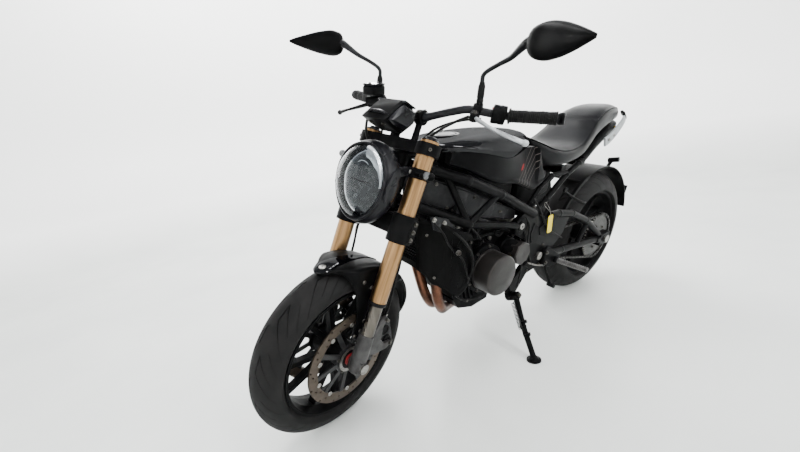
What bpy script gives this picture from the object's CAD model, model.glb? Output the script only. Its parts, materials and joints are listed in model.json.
"""Looks of the standard motorcycle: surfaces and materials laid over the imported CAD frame."""
import json
import math

import bpy
import numpy as np
from mathutils import Matrix


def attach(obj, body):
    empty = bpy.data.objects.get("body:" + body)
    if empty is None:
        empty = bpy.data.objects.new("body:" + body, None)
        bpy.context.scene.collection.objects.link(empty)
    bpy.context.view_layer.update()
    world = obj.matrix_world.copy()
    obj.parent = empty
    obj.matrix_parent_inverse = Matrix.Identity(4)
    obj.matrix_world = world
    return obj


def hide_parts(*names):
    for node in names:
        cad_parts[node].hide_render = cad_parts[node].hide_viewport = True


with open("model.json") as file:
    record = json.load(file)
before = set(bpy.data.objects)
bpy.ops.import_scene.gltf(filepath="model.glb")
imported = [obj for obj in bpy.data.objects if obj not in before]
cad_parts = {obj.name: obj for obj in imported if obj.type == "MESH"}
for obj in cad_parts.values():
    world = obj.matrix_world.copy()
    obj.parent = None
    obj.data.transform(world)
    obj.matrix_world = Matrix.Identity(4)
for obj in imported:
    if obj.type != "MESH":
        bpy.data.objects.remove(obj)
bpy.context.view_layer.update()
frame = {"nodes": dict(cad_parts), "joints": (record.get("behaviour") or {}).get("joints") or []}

# ---- Where things are ------------------------------------------------------------------------
# The motorcycle leans and its handlebar is turned, so pieces are drawn in its own two frames, in
# millimetres. Both follow from the joints: the bike frame from the rear wheel and the steering
# axis, the fork frame from the steering and the front wheel.
def unit(v):
    """v scaled to length 1."""
    return np.asarray(v, float) / np.linalg.norm(v)


joints = {j["name"]: j for j in frame["joints"]}
RAKE = math.radians(25)
REAR_R, FRONT_R = 315.0, 300.0  # radii of the tyres
LEG_X, LEG_Y = 36, 110  # the fork's legs, ahead of the steering axis and to each side
rear_centre = np.array(joints["rear_wheel_spin"]["pos_m"]) * 1000
steer_pos = np.array(joints["steering"]["pos_m"]) * 1000
bike_y = unit(joints["rear_wheel_spin"]["axis"])
steer_axis = unit(joints["steering"]["axis"])
level = unit(np.cross(bike_y, steer_axis))
bike_x = math.cos(RAKE) * level - math.sin(RAKE) * steer_axis
bike_z = math.sin(RAKE) * level + math.cos(RAKE) * steer_axis
bike_axes = np.array([bike_x, bike_y, bike_z])
bike_origin = rear_centre - REAR_R * bike_z
fork_y_dir = unit(joints["front_wheel_spin"]["axis"])
fork_axes = np.array([np.cross(fork_y_dir, steer_axis), fork_y_dir, steer_axis])
steer_foot = (steer_pos - bike_origin) @ bike_axes.T
AXLE_S = steer_foot[2] / math.cos(RAKE)
STEER_X = steer_foot[0] + math.sin(RAKE) * AXLE_S


def bike(p):
    """Points of the bike frame in millimetres, as row-frame metres: origin + x X + y Y + z Z."""
    return (bike_origin + np.asarray(p, float) @ bike_axes) / 1000


def fork(p):
    """Points of the fork frame in millimetres, as row-frame metres."""
    return (steer_pos + np.asarray(p, float) @ fork_axes) / 1000


def to_fork(p):
    """Bike-frame points of the steering drawn straight ahead, in the fork frame: turned by the rake
    about Y."""
    q = np.asarray(p, float) - [STEER_X, 0, 0]
    c, s = math.cos(RAKE), math.sin(RAKE)
    return np.stack([c * q[..., 0] + s * q[..., 2], q[..., 1], c * q[..., 2] - s * q[..., 0] - AXLE_S], -1)


def steered(p):
    """Bike-frame points of the steering drawn straight ahead, as row-frame metres in its parked turn."""
    return fork(to_fork(p))


# ---- Studio ----------------------------------------------------------------------------------
# A pale painted floor that curves up into a wall all round, lit by a ceiling light, three soft
# boxes, two strips and a wash on the far wall. The camera stands low and close on the left in
# front, held a little askew.
def add(tree, kind, ins=None, **props):
    """A shader node: props set its fields, ins its sockets, each to a value or a (node, output)."""
    node = tree.nodes.new("ShaderNode" + kind)
    for key, value in props.items():
        setattr(node, key, value)
    for key, value in (ins or {}).items():
        if isinstance(value, tuple) and hasattr(value[0], "outputs"):
            tree.links.new(value[0].outputs[value[1]], node.inputs[key])
        else:
            node.inputs[key].default_value = value
    return node


def hexa(code):
    """An sRGB hex colour as linear RGBA: ((c + 0.055) / 1.055) ^ 2.4 above the toe."""
    c = np.array([int(code[i:i + 2], 16) for i in (1, 3, 5)]) / 255
    c = np.where(c > 0.04045, ((c + 0.055) / 1.055) ** 2.4, c / 12.92)
    return (float(c[0]), float(c[1]), float(c[2]), 1.0)


def blank(name):
    """A new material and its node tree, with no node in it yet."""
    mat = bpy.data.materials.new(name)
    mat.use_nodes = True
    mat.node_tree.nodes.clear()
    return mat, mat.node_tree


MIX_COLOUR = 2  # the place of a mix node's colour among its outputs


def mix(tree, share, first, second):
    """A node that mixes two colours by a share: the first at 0, the second at 1."""
    return add(tree, "Mix", {"Factor": share, "A": first, "B": second}, data_type="RGBA")


def surface(name, shade, worn, rough, metal=0.0, blotch=60.0, grain=2.0, depth=0.02, ior=1.5,
            stretch=(1, 1, 1), axes=None):
    """A painted, cast or moulded surface. shade and worn are its two hex colours, mixed in patches
    of blotch mm; rough is the roughness in clean and worn places; grain and depth are the size and
    height of its fine texture in mm; ior its refractive index; stretch scales the texture along
    three directions, turned to the axes if they are given."""
    mat, tree = blank(name)
    place = add(tree, "TexCoord")
    square = Matrix(np.asarray(axes).tolist()).to_euler() if axes is not None else (0, 0, 0)
    upright = add(tree, "Mapping", {"Vector": (place, "Object"), "Rotation": square})
    turn = add(tree, "Mapping", {"Vector": (upright, "Vector"), "Scale": stretch})
    patches = add(tree, "TexNoise", {"Vector": (turn, "Vector"), "Scale": 1000 / blotch, "Detail": 5.0,
                                     "Roughness": 0.6})
    fine = add(tree, "TexNoise", {"Vector": (turn, "Vector"), "Scale": 1000 / grain, "Detail": 3.0,
                                  "Roughness": 0.5})
    spread = add(tree, "MapRange", {"Value": (patches, "Fac"), "From Min": 0.38, "From Max": 0.68})
    colour = mix(tree, (spread, "Result"), hexa(shade), hexa(worn))
    dull = add(tree, "MapRange", {"Value": (patches, "Fac"), "From Min": 0.3, "From Max": 0.7,
                                  "To Min": rough[0], "To Max": rough[1]})
    bump = add(tree, "Bump", {"Height": (fine, "Fac"), "Distance": depth / 1000, "Strength": 1.0})
    skin = add(tree, "BsdfPrincipled", {
        "Base Color": (colour, MIX_COLOUR), "Roughness": (dull, "Result"), "Metallic": metal,
        "IOR": ior, "Normal": (bump, "Normal")})
    add(tree, "OutputMaterial", {"Surface": (skin, "BSDF")})
    return mat


def colouring(mat):
    """The tree of a surface's material, its shader node, and what colours it as (node, output)."""
    skin = next(n for n in mat.node_tree.nodes if n.type == "BSDF_PRINCIPLED")
    return mat.node_tree, skin, (skin.inputs["Base Color"].links[0].from_node, MIX_COLOUR)


def grid(p, wrap=(False, True), caps=(True, True)):
    """A surface over points p[i, j]: quads between neighbours, the last row or column joined to the
    first where wrap says so, and one face over the first and last row where caps says so."""
    n, m = p.shape[:2]
    ids = np.arange(n * m).reshape(n, m)
    rows = np.vstack([ids, ids[:1]]) if wrap[0] else ids
    rows = np.hstack([rows, rows[:, :1]]) if wrap[1] else rows
    quads = np.stack([rows[:-1, :-1], rows[1:, :-1], rows[1:, 1:], rows[:-1, 1:]], -1).reshape(-1, 4)
    ends = [ids[0][::-1]] * caps[0] + [ids[-1]] * caps[1]
    return np.asarray(p, float).reshape(-1, 3), quads, ends


def piece(name, body, parts, nodes=(), angle=40):
    """One object from (material, shell) parts, each shell turned so that its normals point out: the
    signed volume, the sum of a . (b x c) / 6 over its triangles, must be positive. It rides on the
    body and stands for the CAD nodes named."""
    mesh = bpy.data.meshes.new(name)
    points, faces, slots, mats = [], [], [], []
    for mat, (p, quads, ends) in parts:
        fans = [np.stack([np.full(len(e) - 2, e[0]), e[1:-1], e[2:]], -1) for e in ends]
        tris = p[np.vstack([quads[:, :3], quads[:, [0, 2, 3]]] + fans)] - p.mean(0)
        inward = np.einsum("ij,ij->", tris[:, 0], np.cross(tris[:, 1], tris[:, 2])) < 0
        step = -1 if inward else 1
        start = sum(map(len, points))
        faces += (quads[:, ::step] + start).tolist() + [(e[::step] + start).tolist() for e in ends]
        points.append(p)
        if mat not in mats:
            mats.append(mat)
        slots += [mats.index(mat)] * (len(quads) + len(ends))
    mesh.from_pydata(np.vstack(points).tolist(), [], faces)
    for mat in mats:
        mesh.materials.append(mat)
    mesh.polygons.foreach_set("material_index", slots)
    mesh.shade_smooth()
    mesh.set_sharp_from_angle(angle=math.radians(angle))
    obj = bpy.data.objects.new(name, mesh)
    bpy.context.collection.objects.link(obj)
    if body:
        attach(obj, body)
    if nodes:
        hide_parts(*nodes)
    return obj


floor_paint = surface("floor_paint_rolled", "#d3d6d3", "#cccfcd", (0.35, 0.5), blotch=900, grain=4,
                      depth=0.01)
tree, skin, painted = colouring(floor_paint)
height = add(tree, "SeparateXYZ", {"Vector": (add(tree, "TexCoord"), "Object")})
climb = add(tree, "MapRange", {"Value": (height, "Z"), "From Min": 0.02, "From Max": 0.5})
tone = mix(tree, (climb, "Result"), painted, hexa("#fbfbfa"))
tree.links.new(tone.outputs[MIX_COLOUR], skin.inputs["Base Color"])
flat_to, bend = 4.5, 2.0  # metres of flat floor, and the radius of the curve up to the wall
arc = np.linspace(0.05, math.pi / 2, 16)
wall = flat_to + bend
reach = np.concatenate([np.linspace(0.01, flat_to, 12), flat_to + bend * np.sin(arc), [wall, wall]])[:,
    None]
rise = np.concatenate([np.zeros(12), bend - bend * np.cos(arc), [4.0, 7.0]])[:, None]
turn = np.linspace(0, 2 * math.pi, 97)[:-1]
bowl = np.stack([reach * np.cos(turn), reach * np.sin(turn), rise + 0 * turn], -1)
piece("studio_floor", None, [(floor_paint, grid(bowl, caps=(True, False)))])

for name, place, aim, size, power in (
    ("ceiling_light", (0.2, 0.3, 5.6), (0, 0, 0), (5.0, 5.0), 335),
    ("front_soft_box", (4.6, 2.4, 2.6), (0, 0, 0.5), (2.6, 2.6), 125),
    ("side_soft_box", (-1.0, 5.0, 2.8), (0, 0, 0.6), (3.4, 2.2), 130),
    ("right_soft_box", (0.6, -5.0, 2.6), (0, 0, 0.6), (3.4, 2.2), 80),
    ("strip_left", (0.3, 1.3, 3.1), (0.1, 0.1, 0.8), (0.16, 2.4), 70),
    ("strip_right", (-0.9, -1.7, 2.9), (0, 0, 0.9), (0.16, 2.6), 70),
    ("wall_wash", (-1.6, -2.6, 5.2), (-4.2, -6.4, 1.6), (7.0, 1.2), 680),
):
    lamp = bpy.data.lights.new(name, "AREA")
    lamp.shape = "RECTANGLE"
    lamp.size, lamp.size_y = size
    lamp.energy = power
    holder = bpy.data.objects.new(name, lamp)
    back = unit(np.subtract(place, aim))
    across = unit(np.cross((0, 0, 1), back)) if abs(back[2]) < 0.999 else np.array([1.0, 0, 0])
    holder.matrix_world = Matrix(np.vstack([
        np.stack([across, np.cross(back, across), back, place], 1), [0, 0, 0, 1]]).tolist())
    holder.visible_glossy = name not in ("front_soft_box", "ceiling_light")
    bpy.context.collection.objects.link(holder)

world = bpy.data.worlds.new("studio_air")
world.use_nodes = True
air = world.node_tree.nodes["Background"].inputs
air["Color"].default_value = (0.9, 0.95, 1.0, 1)
air["Strength"].default_value = 0.6
bpy.context.scene.world = world

# The camera looks forward and down at yaw and pitch, rolled about its own axis
yaw, down, roll = math.radians(-121.0), math.radians(15.3), math.radians(-9.4)
look = np.array([math.cos(yaw) * math.cos(down), math.sin(yaw) * math.cos(down), -math.sin(down)])
right = np.array([math.sin(yaw), -math.cos(yaw), 0])
upward = np.cross(right, look)
cam_x = math.cos(roll) * right + math.sin(roll) * upward
cam_y = -math.sin(roll) * right + math.cos(roll) * upward
cam = bpy.data.cameras.new("camera")
cam.lens = 16.46
cam.shift_x, cam.shift_y = 0.0355, 0.0239
cam.clip_start = 0.02
camera = bpy.data.objects.new("camera", cam)
camera_at = rear_centre / 1000 + [1.868491, 1.028815, 0.600747]
camera.matrix_world = Matrix(np.vstack([
    np.stack([cam_x, cam_y, -look, camera_at], 1), [0, 0, 0, 1]]).tolist())
bpy.context.collection.objects.link(camera)
bpy.context.scene.camera = camera

# ---- CAD pieces that keep their form ---------------------------------------------------------
# Frame, engine, fork and small metalwork as the CAD built them, each with the finish of the
# real piece: powder coat on steel tube, cast and machined aluminium, anodised tube.
powder = surface("frame_powder_coat", "#040404", "#0a0a0b", (0.3, 0.44), blotch=80, grain=1.2, depth=0.01,
                 ior=1.13)
cast_black = surface("cast_aluminium_black", "#040405", "#0d0d0d", (0.42, 0.6), blotch=40, grain=0.9,
                     depth=0.05, ior=1.13)
anodised = surface("anodised_aluminium_gold", "#a27f57", "#70553a", (0.26, 0.42), 1.0, blotch=9, grain=0.6,
                   depth=0.006, stretch=(1, 1, 0.03), axes=fork_axes)
steel = surface("turned_steel", "#9a9894", "#6d6a66", (0.25, 0.42), 1.0, blotch=12, grain=0.5, depth=0.01)
plastic = surface("moulded_plastic_black", "#040404", "#09090a", (0.36, 0.5), blotch=70, grain=0.5,
                  depth=0.02, ior=1.12)
chain_steel = surface("chain_steel_oiled", "#23211e", "#121110", (0.3, 0.5), 0.9, blotch=14, grain=0.6,
                      depth=0.02)


def banded(name, centre, axis, radius):
    """A brake disc's finish, by the distance from its axis: heated bare steel beyond the radius, in
    metres, and a black painted carrier within it."""
    mat, tree = blank(name)
    place = (add(tree, "TexCoord"), "Object")
    shift = add(tree, "VectorMath", {0: place, 1: list(map(float, centre))}, operation="SUBTRACT")
    off = add(tree, "VectorMath", {0: (shift, "Vector"), 1: list(map(float, axis))},
              operation="CROSS_PRODUCT")
    far = add(tree, "VectorMath", {0: (off, "Vector")}, operation="LENGTH")
    mask = add(tree, "MapRange", {"Value": (far, "Value"), "From Min": radius - 0.0004, "From Max": radius})
    grime = add(tree, "TexNoise", {"Vector": place, "Scale": 45.0, "Detail": 5.0})
    fine = add(tree, "TexNoise", {"Vector": place, "Scale": 900.0, "Detail": 2.0})
    bare = mix(tree, (grime, "Fac"), hexa("#5c5249"), hexa("#423a33"))
    painted = mix(tree, (grime, "Fac"), hexa("#0c0c0d"), hexa("#1a1a1b"))
    colour = mix(tree, (mask, "Result"), (painted, MIX_COLOUR), (bare, MIX_COLOUR))
    bump = add(tree, "Bump", {"Height": (fine, "Fac"), "Distance": 0.00003, "Strength": 1.0})
    skin = add(tree, "BsdfPrincipled", {
        "Base Color": (colour, MIX_COLOUR), "Metallic": (mask, "Result"), "Roughness": 0.4,
        "Specular IOR Level": 0.25, "Normal": (bump, "Normal")})
    add(tree, "OutputMaterial", {"Surface": (skin, "BSDF")})
    return mat


front_disc_finish = banded("brake_disc_front", fork([LEG_X, 0, 0]), fork_y_dir, 0.1262)
rear_disc_finish = banded("brake_disc_rear", bike([0, 0, REAR_R]), bike_y, 0.1002)

for mat, nodes in (
    (powder, ("frame", "subframe", "swingarm", "side_stand")),
    (cast_black, ("crankcase", "cylinders", "radiator", "front_rim", "rear_rim", "yokes", "rear_caliper")),
    (anodised, ("fork_tubes",)),
    (chain_steel, ("rear_sprocket",)),
    (steel, ("rear_axle", "front_axle", "shock_absorber")),
    (front_disc_finish, ("front_discs",)),
    (rear_disc_finish, ("rear_disc",)),
    (plastic, ("rear_hugger", "rear_indicators")),
):
    for name in nodes:
        frame["nodes"][name].data.materials.clear()
        frame["nodes"][name].data.materials.append(mat)

# ---- Tyres -----------------------------------------------------------------------------------
# Moulded rubber with long S-shaped grooves, hooked where two of them meet, and plain shoulders.
# One grid goes round the wheel; its columns follow the grooves, so their walls stay sharp.
rubber = surface("tyre_rubber", "#0b0b0b", "#171616", (0.6, 0.8), blotch=45, grain=0.7, depth=0.04,
                 ior=1.24)


def curve(points, n=6):
    """A smooth path through the points, n steps between each two: the Catmull-Rom cubic
    (2b + (c - a) t + (2a - 5b + 4c - d) t^2 + (3b - a - 3c + d) t^3) / 2."""
    p = np.asarray(points, float)
    p = np.vstack([2 * p[0] - p[1], p, 2 * p[-1] - p[-2]])
    a, b, c, d = p[:-3], p[1:-2], p[2:-1], p[3:]
    t = np.linspace(0, 1, n, endpoint=False)[:, None, None]
    q = (2 * b + (c - a) * t + (2 * a - 5 * b + 4 * c - d) * t ** 2 + (3 * b - a - 3 * c + d) * t ** 3) / 2
    return np.vstack([q.transpose(1, 0, 2).reshape(-1, p.shape[1]), p[-2:-1]])


def tread(place, r, half_w, crown, bead, pitches, sweep, depth):
    """A treaded tyre. Column u and distance t from the middle give the turn (u + sweep f(t)) round
    the wheel, f being the grooves' curve; radius r - crown (1 - cos a) less the groove's depth."""
    # Grooves of one side: place in the pitch, width as a share of it, where it starts and ends
    grooves = ((0.08, 0.036, 0.10, 0.80), (0.40, 0.036, 0.10, 0.62), (0.74, 0.03, 0.34, 0.97))
    edge = 0.006
    cols, rows = [np.linspace(0, 1, 17)[:-1]], [np.linspace(0, 1, 14)]
    for at, wide, start, end in grooves:
        for side in (0, 0.5):
            cols.append((at + side + np.array([-wide, edge - wide, wide - edge, wide]) / 2) % 1)
        rows.append([start, start + 0.02, end - 0.02, end])
    hook = (0.10, 0.145)
    rows.append([hook[0], hook[0] + 0.012, hook[1] - 0.012, hook[1]])
    u1 = np.unique(np.round(np.concatenate(cols), 5))
    t1 = np.unique(np.round(np.concatenate(rows), 5))
    t = np.concatenate([-t1[:0:-1], t1])
    sunk = np.zeros((len(u1), len(t)))
    for at, wide, start, end in grooves:
        for side, phase in ((1, 0), (-1, 0.5)):
            off = (u1 - at - phase + 0.5) % 1 - 0.5
            inside = np.abs(off) < (wide - edge) / 2 + 1e-4
            span = (t * side > start + 0.015) & (t * side < end - 0.015)
            sunk = np.maximum(sunk, inside[:, None] & span)
    for side, phase in ((1, 0), (-1, 0.5)):
        between = ((u1 - 0.08 - phase + 0.005) % 1) < 0.33
        span = (t * side > hook[0] + 0.01) & (t * side < hook[1] - 0.01)
        sunk = np.maximum(sunk, between[:, None] & span)
    u = (np.arange(pitches)[:, None] + u1).reshape(-1) / pitches * 2 * math.pi
    sunk = np.tile(sunk, (pitches, 1))
    a = t * math.pi / 2
    bend = sweep * (np.abs(t) ** 0.6 * 0.8 + 0.2 * np.sin(np.abs(t) * math.pi / 2) ** 4)
    turn = u[:, None] + bend
    radius = r - crown * (1 - np.cos(a)) - depth * sunk
    across = half_w * np.sin(a) + 0 * turn
    low = r - crown
    wall = np.array([(0.25, 0.0), (0.5, 0.9), (0.56, -0.7), (0.85, 0.0), (1.0, 0.0)])
    side_r = low + (bead[0][0] - low) * wall[:, 0]
    side_y = half_w + (bead[0][1] - half_w) * wall[:, 0] + wall[:, 1]
    side_r, side_y = np.append(side_r, bead[1][0]), np.append(side_y, bead[1][1])
    radius = np.hstack([radius, np.tile(side_r, (len(u), 1)), np.tile(side_r[::-1], (len(u), 1))])
    across = np.hstack([across, np.tile(side_y, (len(u), 1)), np.tile(-side_y[::-1], (len(u), 1))])
    turn = np.hstack([turn, np.repeat(turn[:, -1:], len(side_y), 1),
                      np.repeat(turn[:, :1], len(side_y), 1)])
    return grid(place(np.stack([radius * np.cos(turn), across, radius * np.sin(turn)], -1)), (True, True),
                (False, False))


def front_wheel(p):
    """Points of the front wheel's own frame, in millimetres, as row-frame metres."""
    return fork(np.asarray(p, float) + [LEG_X, 0, 0])


def rear_wheel(p):
    """Points of the rear wheel's own frame, in millimetres, as row-frame metres."""
    return bike(np.asarray(p, float) + [0, 0, REAR_R])


piece("front_tyre_treaded", "front_wheel", [(rubber, tread(
    front_wheel, FRONT_R, 60, 60, ((223.3, 44.7), (216.3, 41.7)), 12, -0.55, 4.0))], ["front_tyre"], 50)
piece("rear_tyre_treaded", "rear_wheel", [(rubber, tread(
    rear_wheel, REAR_R, 90, 88, ((223.3, 70.7), (216.3, 67.7)), 11, 0.6, 4.5))], ["rear_tyre"], 50)

# ---- Fuel tank -------------------------------------------------------------------------------
# Pressed steel in black lacquer: a dome with a soft ridge along its middle, a hollow for the knees
# and a sharp crease along each side. A lofted grid of stations along X; the cap is turned.
anodised_black = surface("anodised_aluminium_black", "#111113", "#1c1c1e", (0.25, 0.4), 0.8, blotch=30,
                         grain=0.6, depth=0.01)

# Black lacquer: a black ground under a clear surface that mirrors a capped share at each angle
gloss, tree = blank("tank_lacquer_black")
place = add(tree, "TexCoord")
specks = add(tree, "TexNoise", {"Vector": (place, "Object"), "Scale": 26.0, "Detail": 6.0})
ripple = add(tree, "TexNoise", {"Vector": (place, "Object"), "Scale": 11.0, "Detail": 1.0})
haze = add(tree, "MapRange", {"Value": (specks, "Fac"), "From Min": 0.35, "From Max": 0.75, "To Min": 0.025,
                              "To Max": 0.11})
facing = add(tree, "Fresnel", {"IOR": 1.5})
share = add(tree, "Math", {0: (facing, "Fac"), 1: 0.04, 2: 0.024}, operation="MULTIPLY_ADD")
orange_peel = add(tree, "Bump", {"Height": (ripple, "Fac"), "Distance": 0.0002, "Strength": 0.4})
ground = add(tree, "BsdfDiffuse", {"Color": hexa("#030304"), "Roughness": 0.3})
mirror_like = add(tree, "BsdfGlossy", {"Color": (0.95, 0.96, 0.98, 1), "Roughness": (haze, "Result"),
                                       "Normal": (orange_peel, "Normal")})
mixed = add(tree, "MixShader", {0: (share, "Value"), 1: (ground, "BSDF"), 2: (mirror_like, "BSDF")})
add(tree, "OutputMaterial", {"Surface": (mixed, "Shader")})


def placed(shell, place=bike, side=1):
    """A shell of points in millimetres, put in place as row-frame metres; with side -1 it is
    mirrored in the middle plane first."""
    return place(shell[0] * [1, side, 1]), shell[1], shell[2]


def pair(mat, shell, place=bike):
    """Two parts of one material: a shell and its mirror image in the middle plane."""
    return [(mat, placed(shell, place, side)) for side in (1, -1)]


def lathe(profile, centre, axis, sides=32):
    """A turned form: for each (h, r) of the profile and turn a, centre + h A + r (cos a U + sin a V),
    A being the axis and U and V square to it."""
    axis = unit(axis)
    u = unit(np.cross(axis, (0.0, 1.0, 0.1) if abs(axis[1]) < 0.8 else (1.0, 0.0, 0.1)))
    v = np.cross(axis, u)
    a = np.linspace(0, 2 * math.pi, sides + 1)[:-1, None]
    h, r = np.maximum(np.array(profile, float), [-1e9, 0.02]).T[:, :, None, None]
    return grid(np.asarray(centre, float) + h * axis + r * (np.cos(a) * u + np.sin(a) * v))


tank = curve([
    [592, 836, 872, 44, 0.4], [620, 845, 890, 80, 0.5], [680, 846, 908, 112, 0.6],
    [760, 839, 918, 138, 0.6], [830, 842, 922, 154, 0.6], [900, 861, 922, 158, 0.6],
    [970, 879, 919, 150, 0.6], [1020, 886, 913, 124, 0.6], [1056, 886, 907, 84, 0.6],
    [1082, 880, 896, 40, 0.5]], 6)
a = np.linspace(0, math.pi, 65)
x, low, top, wide, square = tank.T[:, :, None]
power = 1 - 0.55 * square
c, s = np.cos(a), np.sin(a)
knee = 7 * np.exp(-((s - 0.42) / 0.16) ** 2) * np.exp(-((x - 760) / 130) ** 2)
rise = (top - low) * (s ** power) - 1.2 * np.exp(-((s - 0.93) / 0.035) ** 2) * (wide / 158)
y = (wide - knee) * np.sign(c) * np.abs(c) ** power
dome = np.stack([x + 0 * y, y, low + rise], -1)
under = np.stack([np.stack([tank[:, 0], f * (tank[:, 3] - 3), tank[:, 1] - 3], -1)
                  for f in (-1, -0.5, 0.5, 1)], 1)
well = curve([[650, 800, 856, 50], [720, 784, 852, 78], [880, 796, 866, 80], [1000, 824, 892, 78],
              [1046, 852, 894, 56]], 4)
b = np.linspace(0, 2 * math.pi, 33)[:-1]
x, low, top, wide = well.T[:, :, None]
well_ring = np.stack([
    x + 0 * b, wide * np.sign(np.cos(b)) * np.abs(np.cos(b)) ** 0.5,
    (low + top) / 2 + (top - low) / 2 * np.sign(np.sin(b)) * np.abs(np.sin(b)) ** 0.5], -1)
cap_at = [962, 0, 918.5]
piece("fuel_tank_lacquered", "chassis", [
    (gloss, placed(grid(np.concatenate([dome, under], 1)))),
    (plastic, placed(grid(well_ring))),
    (anodised_black, placed(lathe([(-4, 42), (1.6, 42), (2.6, 40), (2.6, 34), (1.4, 33), (1.4, 30),
                                   (2.8, 29), (3.2, 20), (3.2, 0)], cap_at, (0.02, 0, 1), 48))),
] + [(steel, placed(lathe([(0, 3), (3.6, 3), (4.2, 2.4), (4.2, 1.4), (3.0, 1.3), (3.0, 0)],
                         np.add(cap_at, [37 * math.cos(k), 37 * math.sin(k), 0]), (0.02, 0, 1), 10)))
                         for k in np.arange(6) * math.pi / 3],
    ["fuel_tank"], 50)

# ---- Side covers -----------------------------------------------------------------------------
# Satin moulded panels that fill the space below the tank's crease, with a wavy lower edge and a
# pressed line along it, and thin slanted lines round a small red patch at the rear.

# Charcoal, with thin pale lines slanting over its rear end and a small red patch among them
striped = surface("side_panel_satin_striped", "#050506", "#0a0a0b", (0.3, 0.42), blotch=60, grain=0.6,
                  depth=0.008, ior=1.12)
tree, skin, base = colouring(striped)
mark_at = bike([668, 140, 770]).tolist()
across_lines, along_lines = (unit(np.array(w) @ bike_axes).tolist()
                             for w in ([0.72, 0, 0.69], [-0.69, 0, 0.72]))
shift = add(tree, "VectorMath", {0: (add(tree, "TexCoord"), "Object"), 1: mark_at}, operation="SUBTRACT")
away = add(tree, "VectorMath", {0: (shift, "Vector"), 1: across_lines}, operation="DOT_PRODUCT")
down_line = add(tree, "VectorMath", {0: (shift, "Vector"), 1: along_lines}, operation="DOT_PRODUCT")
wave = add(tree, "Math", {0: (away, "Value"), 1: 0.0085}, operation="PINGPONG")
line = add(tree, "MapRange", {"Value": (wave, "Value"), "From Min": 0.0005, "From Max": 0.0013,
                              "To Min": 1.0, "To Max": 0.0})
near = add(tree, "Math", {0: (away, "Value")}, operation="ABSOLUTE")
reach = add(tree, "MapRange", {"Value": (near, "Value"), "From Min": 0.030, "From Max": 0.050,
                               "To Min": 0.5, "To Max": 0.0})
faint = add(tree, "Math", {0: (line, "Result"), 1: (reach, "Result")}, operation="MULTIPLY")
stretched = add(tree, "Math", {0: (away, "Value"), 1: 2.4, 2: -0.064}, operation="MULTIPLY_ADD")
off_patch = add(tree, "CombineXYZ", {"X": (stretched, "Value"), "Y": (down_line, "Value")})
patch_at = add(tree, "VectorMath", {0: (off_patch, "Vector"), 1: [0.046, -0.019, 0.0]},
               operation="DISTANCE")
patch = add(tree, "MapRange", {"Value": (patch_at, "Value"), "From Min": 0.012, "From Max": 0.015,
                               "To Min": 1.0, "To Max": 0.0})
lined = mix(tree, (faint, "Value"), base, hexa("#6e6763"))
red = mix(tree, (patch, "Result"), (lined, MIX_COLOUR), hexa("#7a1417"))
tree.links.new(red.outputs[MIX_COLOUR], skin.inputs["Base Color"])


def along(x, *table):
    """The value at x of a smooth curve through (x, value) rows."""
    rows = curve(table, 8)
    return np.interp(x, rows[:, 0], rows[:, 1])


x = np.linspace(548, 1048, 72)
low = along(x, (548, 722), (574, 712), (640, 693), (700, 716), (760, 738), (830, 750), (900, 774),
            (980, 816), (1060, 850))
top = np.where(x < 620, along(x, (548, 744), (574, 752), (600, 798), (620, 842)),
               np.interp(x, tank[:, 0], tank[:, 1]) - 0.3)
out = along(x, (548, 126), (574, 134), (640, 140), (760, 144), (830, 142), (900, 138), (980, 130),
            (1060, 100))
rim = np.where(x < 620, out - 8, np.maximum(np.interp(x, tank[:, 0], tank[:, 3]) - 3, 110))
v = np.array([0, 0.03, 0.08, 0.13, 0.17, 0.2, 0.3, 0.42, 0.5, 0.58, 0.7, 0.82, 0.9, 0.95, 0.985, 1.0])
belly = np.interp(v, [0, 0.03, 0.08, 0.13, 0.17, 0.2, 0.42, 0.7, 1], [-6, -1.5, 0, 0, -3, -3.4, -1, 1.5, 0])
z = low[:, None] + (top - low)[:, None] * v
y = out[:, None] + (rim - out)[:, None] * v + belly
back = np.stack([np.stack([x, 0 * x + 84, top], -1), np.stack([x, 0 * x + 84, low + 8], -1)], 1)
panel = np.concatenate([np.stack([x[:, None] + 0 * y, y, z], -1), back], 1)
piece("side_covers_moulded", "chassis", pair(striped, grid(panel)), ["side_covers"], 50)

# ---- Tail ------------------------------------------------------------------------------------
# Moulded cowl under the seat, its lamp with a smoked lens, and the two grab rails: flat silver
# straps whose upper ends run on in black.
silver = surface("rail_paint_silver", "#a9acae", "#8e9193", (0.3, 0.42), 0.55, blotch=60, grain=0.8,
                 depth=0.01)
lamp_red = surface("tail_lamp_lens_red", "#4a0908", "#6a100d", (0.08, 0.16), blotch=8, grain=3.0,
                   depth=0.05)
lamp_amber = surface("indicator_lens_amber", "#8a6a10", "#6e7a1c", (0.12, 0.2), blotch=8, grain=3.0,
                     depth=0.05)


def lofted(rows, sides=48, power=0.55):
    """Oval rings along X: y = w cos a, z = m + h sin a, both squared by |c|^(1 - power k) for each
    row's squareness k."""
    b = np.linspace(0, 2 * math.pi, sides + 1)[:-1]
    x, low, top, wide, k = np.asarray(rows, float).T[:, :, None]
    c, s = np.cos(b), np.sin(b)
    e = 1 - power * k
    return np.stack([x + 0 * (c * e), wide * np.sign(c) * np.abs(c) ** e,
                     (low + top) / 2 + (top - low) / 2 * np.sign(s) * np.abs(s) ** e], -1)


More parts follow.
